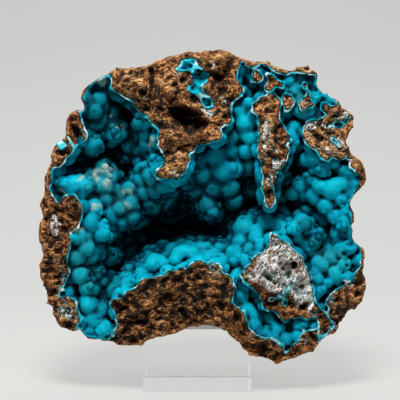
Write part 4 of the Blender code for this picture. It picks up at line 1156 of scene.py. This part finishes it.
def limonite():
    """Brown iron rock: dark and mid browns with tan, orange and whitish patches, dull and full of pores, with
    painted shade and highlights.
    """
    m = Shade("Limonite")
    broad = m.noise(8.0, 3.0, 0.6)
    fine = m.noise(1.7, 3.0, 0.7)
    grain = m.noise(1.0, 1.0, 0.6, (1.9, 1.0, 0.9), -12.0, shift=40.0)
    zone = m.noise(21.0, 3.0, 0.6, shift=5.0)
    banded = m.noise(2.2, 6.0, 0.7, (2.2, 1.0, 0.7), -14.0, shift=17.0)
    layered = m.maths("MULTIPLY", m.mark("layer"), 0.15)
    mottled = m.maths("ADD", m.sum_with(m.maths("MULTIPLY", fine, 0.62), broad, 0.38), layered)
    brown = m.ramp(mottled, [
        (0.40, "#120602"), (0.44, "#341A0C"), (0.48, "#653619"), (0.52, "#96592C"), (0.57, "#CA8850"),
        (0.64, "#F4C490"),
    ])
    tan = m.ramp(m.maths("ADD", banded, layered), [
        (0.39, "#221006"), (0.43, "#633616"), (0.47, "#A66632"), (0.52, "#DC9C5C"), (0.59, "#FFDCA8"),
    ])
    orange = m.ramp(fine, [(0.40, "#3E1C08"), (0.50, "#9A4E18"), (0.60, "#DC9A58")])
    pale = m.ramp(m.noise(1.5, 3.0, 0.75, (0.8, 1.0, 2.4), 35.0, shift=9.0), [
        (0.38, "#1E120C"), (0.43, "#6A584A"), (0.47, "#BEB8AE"), (0.52, "#F2F0EA"), (0.60, "#FFFFFC"),
    ])
    dark = m.ramp(mottled, [(0.42, "#0B0503"), (0.52, "#27160C"), (0.62, "#6B4527")])

    # Tan, orange and dark areas over the brown
    colour = m.mixed(m.ranged(m.sum_with(m.mark("tan"), broad, 0.5), 0.30, 0.75), brown, tan)
    stain = m.ranged(m.noise(4.0, 4.0, 0.6, (2.0, 1.0, 1.0), -16.0, shift=71.0), 0.54, 0.62)
    colour = m.mixed(m.maths("MULTIPLY", stain, 0.9), colour, orange)
    colour = m.mixed(m.ranged(zone, 0.49, 0.38, 0.0, 0.75), colour, dark)
    # Painted shade in recesses and under ledges, elsewhere the rock's own darker brown
    colour = m.mixed(m.ranged(m.sum_with(m.mark("dark"), fine, 0.5), 0.42, 0.95), colour, dark)

    # Light and dark layers; pores and low grains darkened as painted shade, high grains lightened as painted
    # glints
    lines = m.sum_with(m.mark("layer"), m.maths("SUBTRACT", fine, 0.5), 1.2)
    light_layer = m.ramp(grain, [(0.40, "#6B3D1E"), (0.58, "#D69C64")])
    colour = m.mixed(m.ranged(lines, 0.22, 0.60, 0.0, 0.7), colour, light_layer)
    colour = m.mixed(m.ranged(lines, -0.22, -0.60, 0.0, 0.8), colour, "#1A0C06")
    pore = m.ranged(m.sum_with(m.cells(1.7), fine, 0.6), 0.50, 0.36, 0.0, 0.85)
    colour = m.mixed(pore, colour, "#120803")
    painted_glint = m.maths("MULTIPLY", m.ranged(grain, 0.57, 0.64, 0.0, 0.9), m.ranged(broad, 0.44, 0.60, 0.1, 1.0))
    colour = m.mixed(painted_glint, colour, "#E0A468")
    colour = m.mixed(m.ranged(grain, 0.44, 0.38, 0.0, 0.8), colour, "#160804")

    # Painted shade in folds and corners, painted highlights on crests
    colour = m.washed(colour, (("fold", 0.05, 0.45, 0.9, "#140A06"), ("shut", 0.05, 0.9, 0.8, "#180C06")))
    crest = m.ramp(grain, [(0.42, "#6E3C1A"), (0.58, "#D29858")])
    colour = m.mixed(m.ranged(m.mark("fold"), -0.08, -0.4, 0.0, 0.6), colour, crest)

    # Greyish white areas, and veins of pale crust
    whitish = m.ranged(m.sum_with(m.mark("pale"), fine, 0.8), 0.46, 0.72)
    patchy = m.ranged(m.noise(3.4, 4.0, 0.6, (1.0, 1.0, 2.0), 40.0, shift=63.0), 0.53, 0.59, 1.0, 0.25)
    # Painted shade on the whitish rock where it is shut in
    pale = m.washed(pale, (("shut", 0.1, 1.0, 0.9, "#2C211A"),))
    colour = m.mixed(m.maths("MULTIPLY", whitish, patchy), colour, pale)
    vein = m.maths("ABSOLUTE", m.maths("SUBTRACT", m.noise(2.6, 3.0, 0.5, shift=23.0), 0.5), 0.0)
    vein = m.maths("MULTIPLY", m.ranged(vein, 0.05, 0.02), m.ranged(m.mark("net"), 0.0, 0.35))
    colour = m.mixed(vein, colour, m.ramp(grain, [(0.42, "#3C9AA0"), (0.5, "#A4CCC6"), (0.6, "#E6EFEA")]))
    m.link(colour, m.shader.inputs["Base Color"])
    m.link(m.ranged(fine, 0.3, 0.7, 0.72, 0.96), m.shader.inputs["Roughness"])
    m.shader.inputs["Specular IOR Level"].default_value = 0.2
    rough = m.bump(grain, 1.7, 1.0)
    rough = m.bump(pore, -0.8, 0.9, rough)
    m.link(m.bump(fine, 1.8, 1.0, rough), m.shader.inputs["Normal"])
    return m.made


def hemimorphite(name, deep_code, mid_code, light_code):
    """Turquoise crust of fine radiating balls: velvety, paler where it is broken across, with painted light
    and shade.
    """
    m = Shade(name)
    broad = m.noise(15.0, 3.0, 0.5)
    fine = m.noise(2.2, 5.0, 0.6, shift=30.0)
    blend = m.sum_with(m.maths("MULTIPLY", broad, 0.6), fine, 0.4)
    colour = m.ramp(blend, [(0.32, deep_code), (0.48, mid_code), (0.64, light_code)])
    painted_light_colour = m.ramp(fine, [(0.35, "#0096B0"), (0.6, "#00C4DC")])
    # Painted light: bright turquoise where the crust stands in the light
    colour = m.mixed(m.maths("MULTIPLY", m.mark("painted_light"), 0.9), colour, painted_light_colour)
    greenish = m.ramp(fine, [(0.35, "#0F6064"), (0.6, "#2E9090")])
    colour = m.mixed(m.ranged(m.mark("dull"), 0.0, 0.8, 0.0, 0.5), colour, greenish)
    # Painted shade in caves, shut-in places, painted shadow patches, deep in the hollow and in folds; painted
    # highlights on open places and crests
    colour = m.washed(colour, (
        ("cave_shade", -0.1, 0.9, 0.75, "#00303C"),
        ("shut", 0.0, 0.8, 0.9, "#00252F"),
        ("shut", -0.1, -0.9, 0.45, "#00B2C6"),
        ("painted_shadow", 0.0, 0.7, 0.84, "#00222C"),
        ("deep", 0.0, 0.7, 0.9, "#00283C"),
        ("fold", 0.03, 0.40, 0.85, "#002C38"),
        ("fold", -0.05, -0.45, 0.4, "#06A8BA"),
    ))
    tip = m.ranged(m.sum_with(m.mark("tip"), fine, 0.4), 0.45, 1.05)
    colour = m.mixed(tip, colour, m.ramp(fine, [(0.35, "#5FB0AC"), (0.5, "#8FB3A6"), (0.65, "#B4B3A0")]))
    patchy = m.sum_with(m.noise(5.0, 3.0, 0.6, shift=55.0), fine, 0.5)
    broken = m.ranged(m.maths("ADD", m.mark("cut"), patchy), 1.35, 1.9, 0.0, 0.85)
    colour = m.mixed(broken, colour, m.ramp(patchy, [
        (0.60, "#0F7F88"), (0.70, "#3FA6AC"), (0.78, "#8CC6C4"), (0.88, "#DDEBE6"),
    ]))
    m.link(colour, m.shader.inputs["Base Color"])
    m.link(m.ranged(fine, 0.3, 0.7, 0.5, 0.75), m.shader.inputs["Roughness"])
    m.shader.inputs["Specular IOR Level"].default_value = 0.05
    druse = m.bump(m.cells(0.55), 0.16, 0.6)
    m.link(m.bump(m.noise(1.4, 3.0, 0.5), 0.5, 0.5, druse), m.shader.inputs["Normal"])
    return m.made


def clear_acrylic():
    """Cast clear acrylic, polished, with the faintest wear."""
    m = Shade("Clear cast acrylic")
    m.shader.inputs["Base Color"].default_value = (1.0, 1.0, 1.0, 1.0)
    m.shader.inputs["Transmission Weight"].default_value = 1.0
    m.shader.inputs["IOR"].default_value = 1.49
    m.link(m.ranged(m.noise(14.0, 4.0, 0.6), 0.35, 0.7, 0.012, 0.035), m.shader.inputs["Roughness"])
    m.link(m.bump(m.noise(9.0, 2.0, 0.5), 0.02, 0.12), m.shader.inputs["Normal"])
    return m.made


def paper(name, code, glow):
    """The seamless pale paper behind and under the stone, glowing a little of itself there and less towards
    the front.
    """
    m = Shade(name)
    m.shader.inputs["Base Color"].default_value = hexed(code)
    place = m.split(m.place())
    backwards = m.ranged(place["Y"], -0.25, -0.04)
    upwards = m.ranged(place["Z"], 0.0, 0.3, 1.0, 0.8)
    light = m.ramp(m.maths("MULTIPLY", backwards, upwards), [(0.0, "#000000"), (1.0, "#FFFFFD")])
    m.link(light, m.shader.inputs["Emission Color"])
    m.shader.inputs["Roughness"].default_value = 0.9
    m.shader.inputs["Specular IOR Level"].default_value = 0.1
    m.shader.inputs["Emission Strength"].default_value = glow
    m.link(m.bump(m.noise(1.2, 3.0, 0.6), 0.05, 0.2), m.shader.inputs["Normal"])
    return m.made


# The settings and the steps

# The crust of the hollow is made in three parts, from one x to another
SPANS = (("left", -90.0, -26.0), ("middle", -26.0, 22.0), ("right", 22.0, 90.0))

# The balls, by their usual radius: least and greatest, how far each sinks into the skin, how close they come
BALL_SPREAD = {"Min": 0.78, "Max": 1.18}
BALL_SUNK = 0.35
BALL_SPACING = 1.5
BALLS_DENSEST = 4.0e5    # per square metre, before those too close are left out
BALL_ROUNDING = 2        # times that a ball's faces are divided

# The paper behind and under the stone, in metres: its front edge, its bend and its top
PAPER_FRONT = -0.9
PAPER_BEND_Y = 0.35
PAPER_BEND = 0.3
PAPER_BEND_STEPS = 12
PAPER_TOP = 1.6
PAPER_HALF_WIDTH = 1.8

# Soft lights, in metres: place, aim, size, share of the key light's power
STONE_MIDDLE = (0.0, -0.03, 0.085)
LIGHTS = {
    "key": ((-0.04, -0.40, 0.62), STONE_MIDDLE, 0.24, 1.55),
    "left_fill": ((-0.62, -0.45, 0.30), STONE_MIDDLE, 0.5, 0.16),
    "right_fill": ((0.66, -0.40, 0.22), STONE_MIDDLE, 0.5, 0.12),
    "backdrop_light": ((0.0, 0.25, 0.75), (0.0, 0.6, 0.1), 0.6, 0.6),
}


class HemimorphiteSettings(PropertyGroup):
    """Sizes that shape the specimen."""
    step: FloatProperty(
        name="Grid step",
        description="Distance between the points the stone is worked out on, in millimetres",
        default=0.7, min=0.4, max=3.0)
    crust: FloatProperty(
        name="Crust", description="Thickness of the hemimorphite between its balls, in millimetres",
        default=0.95, min=0.5, max=4.0)
    seed: IntProperty(name="Seed", description="Which of the possible roughnesses is made", default=7, min=0)
    ball_radius: FloatProperty(
        name="Ball radius", description="Radius of the larger balls of the crust, in millimetres",
        default=1.9, min=0.5, max=6.0)
    camera_height: FloatProperty(
        name="Camera elevation", description="How far above level the camera looks down", subtype="ANGLE",
        default=EYE_RISE)
    key_light: FloatProperty(
        name="Key light", description="Power of the soft light over the front", subtype="POWER",
        default=3.6, min=0.0)


def shade_named(name, maker, *given):
    """A material already made under this name, or a new one."""
    found = bpy.data.materials.get(name)
    return found if found else maker(*given)


def crust_shade():
    """The crust's turquoise."""
    name = "Hemimorphite crust"
    return shade_named(name, hemimorphite, name, "#005468", "#007E9A", "#00A4C2")


def crust_marks(made, places, faces):
    """Where the crust is cut, dull or pale-tipped, and its depth, shut-in places, folds and patches that set
    its painted light and shade, for its vertices.
    """
    behind = made.grid.sampled(made.behind_front, places)
    near = np.clip(1.0 - (behind - 6.0) / 16.0, 0.0, 1.0)
    beside_rock = np.clip(2.0 + made.flat_at(made.seam, places), 0.0, 1.0)
    marks = {
        "cut": np.clip(1.0 - behind / 1.1, 0.0, 1.0) * beside_rock,
        # Depth behind the break, for painted shade that darkens the hollow inwards
        "deep": np.clip((behind - 6.5) / 20.0, 0.0, 1.0),
        "shut": hemmed_in(made, places),
        "cave_shade": hemmed_in(made, places, CAVE_REACH, 0.52, 4.0),
        "painted_light": patches(places, PAINTED_LIGHT_PATCHES) * near,
        "painted_shadow": patches(places, PAINTED_SHADOW_PATCHES),
        "dull": patches(places, DULL_PATCHES),
        "tip": patches(places, [(x, z, r, r, 0) for x, z, r in PALE_TIPS]) * near,
        "fold": creases(places, faces, 4),
    }
    # Less painted shade where painted light is laid on
    marks["deep"] *= 1.0 - 0.8 * marks["painted_light"]
    marks["cave_shade"] *= 1.0 - 0.6 * marks["painted_light"]
    return marks


class HEMIMORPHITE_OT_rock(Operator):
    """The limonite nodule with its broken face, its great hollow and its small cells"""
    bl_idname = "hemimorphite.rock"
    bl_label = "Limonite nodule"

    def execute(self, context):
        made = fields(context.scene.hemimorphite)
        g = made.grid
        rock = np.minimum(made.stone, -made.hollow)
        half = BLOCK_SIDE / 2 + SEAT_MARGIN
        seat = np.maximum(np.abs(g.x - BLOCK_MIDDLE[0]) - half, np.abs(g.y - BLOCK_MIDDLE[1]) - half)
        seat = np.maximum(seat, g.z - SEAT_TOP)
        rock = np.minimum(rock, seat + 0.02)
        places, faces = meshed(g, rock, coarseness=0.4, crumb=400)
        front = np.clip(1.5 - g.sampled(made.behind_front, places), 0.0, 1.0)
        piece = piece_from("limonite_nodule", places, faces, {
            "pale": patches(places, PALE_PATCHES) * front,
            "tan": np.maximum(patches(places, TAN_PATCHES) * front, 0.35 * (1.0 - front)),
            # Partly painted shade in recesses and under ledges
            "dark": np.maximum(patches(places, DARK_AND_SHADE_PATCHES) * front, 0.25 * (1.0 - front)),
            "net": patches(places, NET_PATCHES) * front,
            # Painted shade in corners and folds, painted highlights on crests
            "shut": hemmed_in(made, places),
            "layer": made.flat_at(made.layer, places) * front,
            "fold": creases(places, faces, 3),
        }, shade_named("Limonite", limonite))
        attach(piece, "root")
        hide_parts("limonite_matrix")
        return {"FINISHED"}


class HEMIMORPHITE_OT_crust(Operator):
    """The hemimorphite skin of the hollow with its standing lumps, in three pieces from left to right"""
    bl_idname = "hemimorphite.crust"
    bl_label = "Crust and lumps"

    def execute(self, context):
        made = fields(context.scene.hemimorphite)
        g = made.grid
        for side, low, high in SPANS:
            past = np.clip(low - g.x, 0.0, None) + np.clip(g.x - high, 0.0, None)
            field = np.minimum(made.crust - 0.15 * past, SKIN_OVERLAP - past)
            places, faces = meshed(g, field, coarseness=0.1, crumb=150)
            marks = crust_marks(made, places, faces)
            hollow = g.sampled(made.hollow, places)
            behind = g.sampled(made.behind_front, places)
            smooth = np.clip(2.0 * patches(places, SMOOTH), 0.0, 1.0)
            marks["open"] = np.clip((hollow - 0.7) / 0.4, 0.0, 1.0) * np.clip((behind - 1.6) / 0.8, 0.0, 1.0)
            some = wander(places[:, 0] + 0.7 * places[:, 1], places[:, 2] - 0.5 * places[:, 1], 17.0, 6)
            marks["open"] *= (1.0 - smooth) * np.clip(4.0 * some, 0.0, 1.0)
            marks["size"] = 0.92 + 0.30 * wander(places[:, 0] + places[:, 1], places[:, 2], 14.0, 5)
            piece = piece_from(f"hemimorphite_skin_{side}", places, faces, marks, crust_shade())
            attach(piece, "root")
            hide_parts("hemimorphite_crust")
        return {"FINISHED"}


def scatter_nodes(name):
    """Nodes that set balls on a skin where it is open to the hollow, each sunk a little into it."""
    group = bpy.data.node_groups.new(name, "GeometryNodeTree")
    face = group.interface
    face.new_socket("Skin", in_out="INPUT", socket_type="NodeSocketGeometry")
    for label, value in (("Radius", 2.0), ("Spacing", 2.8), ("From X", -80.0), ("To X", 80.0)):
        made = face.new_socket(label, in_out="INPUT", socket_type="NodeSocketFloat")
        made.default_value = value * MM
    face.new_socket("Seed", in_out="INPUT", socket_type="NodeSocketInt").default_value = 0
    face.new_socket("Material", in_out="INPUT", socket_type="NodeSocketMaterial")
    face.new_socket("Balls", in_out="OUTPUT", socket_type="NodeSocketGeometry")

    n = Nodes(group)

    def named(label):
        added = n.node("GeometryNodeInputNamedAttribute", data_type="FLOAT")
        added.inputs["Name"].default_value = label
        return added.outputs["Attribute"]

    # Points on the part of the skin between two x, where it is open
    source = n.node("NodeGroupInput").outputs
    place = n.split(n.node("GeometryNodeInputPosition").outputs["Position"])
    right = n.maths("GREATER_THAN", place["X"], source["From X"])
    left = n.maths("LESS_THAN", place["X"], source["To X"])
    share = n.maths("MULTIPLY", n.maths("MULTIPLY", right, left), named("open"))
    spread = n.node("GeometryNodeDistributePointsOnFaces", distribute_method="POISSON")
    spread.inputs["Density Max"].default_value = BALLS_DENSEST
    n.link(source["Skin"], spread.inputs["Mesh"])
    n.link(source["Spacing"], spread.inputs["Distance Min"])
    n.link(share, spread.inputs["Density Factor"])
    n.link(source["Seed"], spread.inputs["Seed"])

    # Each ball's radius, and its middle sunk by a share of it
    size = n.node("FunctionNodeRandomValue", data_type="FLOAT")
    for socket in size.inputs:
        if socket.type == "VALUE" and socket.name in BALL_SPREAD:
            socket.default_value = BALL_SPREAD[socket.name]
    size_out = [socket for socket in size.outputs if socket.type == "VALUE"][0]
    radius = n.maths("MULTIPLY", size_out, n.maths("MULTIPLY", source["Radius"], named("size")))
    sink = n.node("ShaderNodeVectorMath", operation="SCALE")
    n.link(spread.outputs["Normal"], sink.inputs[0])
    n.link(n.maths("MULTIPLY", radius, -BALL_SUNK), sink.inputs["Scale"])
    sunk = n.node("GeometryNodeSetPosition")
    n.link(spread.outputs["Points"], sunk.inputs["Geometry"])
    n.link(sink.outputs["Vector"], sunk.inputs["Offset"])

    # The ball, marked as a crest at its top and as a fold at its foot, for a painted highlight on top and
    # painted shade at its foot
    ball = n.node("GeometryNodeMeshIcoSphere")
    ball.inputs["Radius"].default_value = 1.0
    ball.inputs["Subdivisions"].default_value = BALL_ROUNDING
    fold = n.node("ShaderNodeMapRange")
    for label, value in (("From Min", 1.0), ("From Max", 0.0), ("To Min", -0.3), ("To Max", 0.35)):
        fold.inputs[label].default_value = value
    n.link(place["Z"], fold.inputs["Value"])
    marked = n.node("GeometryNodeStoreNamedAttribute", data_type="FLOAT", domain="POINT")
    marked.inputs["Name"].default_value = "fold"
    n.link(ball.outputs["Mesh"], marked.inputs["Geometry"])
    n.link(fold.outputs["Result"], marked.inputs["Value"])

    balls = n.node("GeometryNodeInstanceOnPoints")
    n.link(sunk.outputs["Geometry"], balls.inputs["Points"])
    n.link(marked.outputs["Geometry"], balls.inputs["Instance"])
    n.link(spread.outputs["Rotation"], balls.inputs["Rotation"])
    n.link(radius, balls.inputs["Scale"])
    real = n.node("GeometryNodeRealizeInstances")
    n.link(balls.outputs["Instances"], real.inputs["Geometry"])
    smooth = n.node("GeometryNodeSetShadeSmooth")
    n.link(real.outputs["Geometry"], smooth.inputs[0])
    painted = n.node("GeometryNodeSetMaterial")
    n.link(smooth.outputs[0], painted.inputs["Geometry"])
    n.link(source["Material"], painted.inputs["Material"])
    n.link(painted.outputs["Geometry"], n.node("NodeGroupOutput").inputs["Balls"])
    return group


def scattered(name, group, skin, given):
    """A plain mesh of what a node group sets on a skin."""
    carrier = added(name + "_carrier", skin.data)
    nodes = carrier.modifiers.new("Scatter", "NODES")
    nodes.node_group = group
    for socket in group.interface.items_tree:
        if socket.item_type == "SOCKET" and socket.in_out == "INPUT" and socket.name in given:
            nodes[socket.identifier] = given[socket.name]
    bpy.context.view_layer.update()
    graph = bpy.context.evaluated_depsgraph_get()
    mesh = bpy.data.meshes.new_from_object(carrier.evaluated_get(graph), depsgraph=graph)
    carrier.modifiers.clear()
    bpy.data.objects.remove(carrier, do_unlink=True)
    mesh.name = name
    return added(name, mesh)


class HEMIMORPHITE_OT_balls(Operator):
    """The balls that cover the skin of the hollow, in three pieces from left to right"""
    bl_idname = "hemimorphite.balls"
    bl_label = "Balls"

    def execute(self, context):
        settings = context.scene.hemimorphite
        group = scatter_nodes("Botryoidal balls")
        for i, (side, low, high) in enumerate(SPANS):
            skin = bpy.data.objects[f"hemimorphite_skin_{side}"]
            piece = scattered(f"hemimorphite_balls_{side}", group, skin, {
                "Radius": settings.ball_radius * MM, "Spacing": settings.ball_radius * BALL_SPACING * MM,
                "From X": (low + SHIFT[0]) * MM, "To X": (high + SHIFT[0]) * MM,
                "Seed": settings.seed + i, "Material": crust_shade(),
            })
            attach(piece, "root")
            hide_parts("hemimorphite_crust")
        return {"FINISHED"}


class HEMIMORPHITE_OT_pockets(Operator):
    """The crusts of the two little pockets in the broken face"""
    bl_idname = "hemimorphite.pockets"
    bl_label = "Pockets"

    def execute(self, context):
        made = fields(context.scene.hemimorphite)
        for name, node, _, _ in POCKETS:
            places, faces = meshed(made.grid, made.pockets[name], coarseness=0.0, crumb=60)
            marks = crust_marks(made, places, faces)
            behind = made.grid.sampled(made.behind_front, places)
            marks["cut"] = np.clip(0.85 - behind / 1.6, 0.0, 1.0)
            # The pockets' crust gets painted light all over and only a quarter of the painted shade
            marks["painted_light"] = np.ones(len(places))
            for mark in ("fold", "shut", "cave_shade"):
                marks[mark] *= 0.25
            piece = piece_from(f"hemimorphite_{name}_pocket", places, faces, marks, crust_shade())
            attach(piece, "root")
            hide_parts(node)
        return {"FINISHED"}


class HEMIMORPHITE_OT_block(Operator):
    """The clear acrylic block, polished, its edges just broken"""
    bl_idname = "hemimorphite.block"
    bl_label = "Clear block"

    def execute(self, context):
        shape = bmesh.new()
        bmesh.ops.create_cube(shape, size=1.0)
        size = (BLOCK_SIDE, BLOCK_SIDE, BLOCK_HEIGHT)
        bmesh.ops.scale(shape, vec=Vector(size) * MM, verts=shape.verts)
        middle = Vector((*BLOCK_MIDDLE, BLOCK_TOP - BLOCK_HEIGHT / 2)) + Vector(SHIFT)
        bmesh.ops.translate(shape, vec=middle * MM, verts=shape.verts)
        bmesh.ops.bevel(
            shape, geom=list(shape.edges), offset=BLOCK_EDGE * MM, segments=2, profile=0.6, affect="EDGES",
            clamp_overlap=True)
        mesh = bpy.data.meshes.new("acrylic_stand")
        shape.to_mesh(mesh)
        shape.free()
        mesh.materials.append(shade_named("Clear cast acrylic", clear_acrylic))
        piece = added("acrylic_stand", mesh)
        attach(piece, "root")
        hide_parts("acrylic_block")
        return {"FINISHED"}


def soft_light(name, place, aim, size, power):
    """A round lamp with soft shadows, turned to its aim."""
    lamp = bpy.data.lights.new(name, "AREA")
    lamp.shape = "DISK"
    lamp.size = size
    lamp.energy = power
    thing = added(name, lamp)
    thing.location = place
    thing.rotation_euler = (Vector(aim) - Vector(place)).to_track_quat("-Z", "Y").to_euler()


class HEMIMORPHITE_OT_stage(Operator):
    """The pale backdrop, the lights and the camera"""
    bl_idname = "hemimorphite.stage"
    bl_label = "Stage"

    def execute(self, context):
        settings = context.scene.hemimorphite
        shape = bmesh.new()
        profile = [(PAPER_FRONT, 0.0), (PAPER_BEND_Y, 0.0)]
        for i in range(1, PAPER_BEND_STEPS + 1):
            turn = math.pi / 2 * i / PAPER_BEND_STEPS
            back = PAPER_BEND_Y + PAPER_BEND * math.sin(turn)
            profile.append((back, PAPER_BEND - PAPER_BEND * math.cos(turn)))
        profile.append((PAPER_BEND_Y + PAPER_BEND, PAPER_TOP))
        sides = (-PAPER_HALF_WIDTH, PAPER_HALF_WIDTH)
        rows = [[shape.verts.new((x, y, z)) for y, z in profile] for x in sides]
        for i in range(len(profile) - 1):
            shape.faces.new((rows[0][i], rows[1][i], rows[1][i + 1], rows[0][i + 1]))
        mesh = bpy.data.meshes.new("paper_sweep")
        shape.to_mesh(mesh)
        shape.free()
        for polygon in mesh.polygons:
            polygon.use_smooth = True
        mesh.materials.append(paper("Pale paper", "#7C7C7A", 0.50))
        sweep = added("paper_sweep", mesh)

        for name, (place, aim, size, share) in LIGHTS.items():
            soft_light(name, place, aim, size, settings.key_light * share)
        world = bpy.data.worlds.new("studio")
        world.use_nodes = True
        sky = world.node_tree.nodes["Background"].inputs
        sky["Color"].default_value = (0.9, 0.93, 0.96, 1.0)
        sky["Strength"].default_value = 0.08
        context.scene.world = world
        context.scene.view_settings.view_transform = "Standard"

        camera = bpy.data.cameras.new("camera")
        camera.angle = math.radians(20.0)
        camera.clip_start = 0.01
        thing = added("camera", camera)
        rise = settings.camera_height
        middle = Vector((EYE_AIM[0], FRONT_Y, EYE_AIM[1])) + Vector(SHIFT)
        thing.location = (middle + Vector((0.0, -math.cos(rise), math.sin(rise))) * EYE_AWAY) * MM
        thing.rotation_euler = (math.pi / 2 - rise, 0.0, 0.0)
        context.scene.camera = thing
        return {"FINISHED"}


class HEMIMORPHITE_PT_build(Panel):
    """The steps in the order they are made"""
    bl_label = "Hemimorphite"
    bl_idname = "HEMIMORPHITE_PT_build"
    bl_space_type = "VIEW_3D"
    bl_region_type = "UI"
    bl_category = "Hemimorphite"

    def draw(self, context):
        column = self.layout.column()
        for name in HemimorphiteSettings.__annotations__:
            column.prop(context.scene.hemimorphite, name)
        for step in STEPS:
            column.operator(step.bl_idname)


STEPS = (
    HEMIMORPHITE_OT_rock,
    HEMIMORPHITE_OT_crust,
    HEMIMORPHITE_OT_balls,
    HEMIMORPHITE_OT_pockets,
    HEMIMORPHITE_OT_block,
    HEMIMORPHITE_OT_stage,
)
CLASSES = (HemimorphiteSettings, *STEPS, HEMIMORPHITE_PT_build)


def register():
    for one in CLASSES:
        bpy.utils.register_class(one)
    bpy.types.Scene.hemimorphite = PointerProperty(type=HemimorphiteSettings)


def unregister():
    del bpy.types.Scene.hemimorphite
    for one in reversed(CLASSES):
        bpy.utils.unregister_class(one)


def main():
    register()
    bpy.ops.hemimorphite.rock()
    bpy.ops.hemimorphite.crust()
    bpy.ops.hemimorphite.balls()
    bpy.ops.hemimorphite.pockets()
    bpy.ops.hemimorphite.block()
    bpy.ops.hemimorphite.stage()


if __name__ == "__main__":
    main()
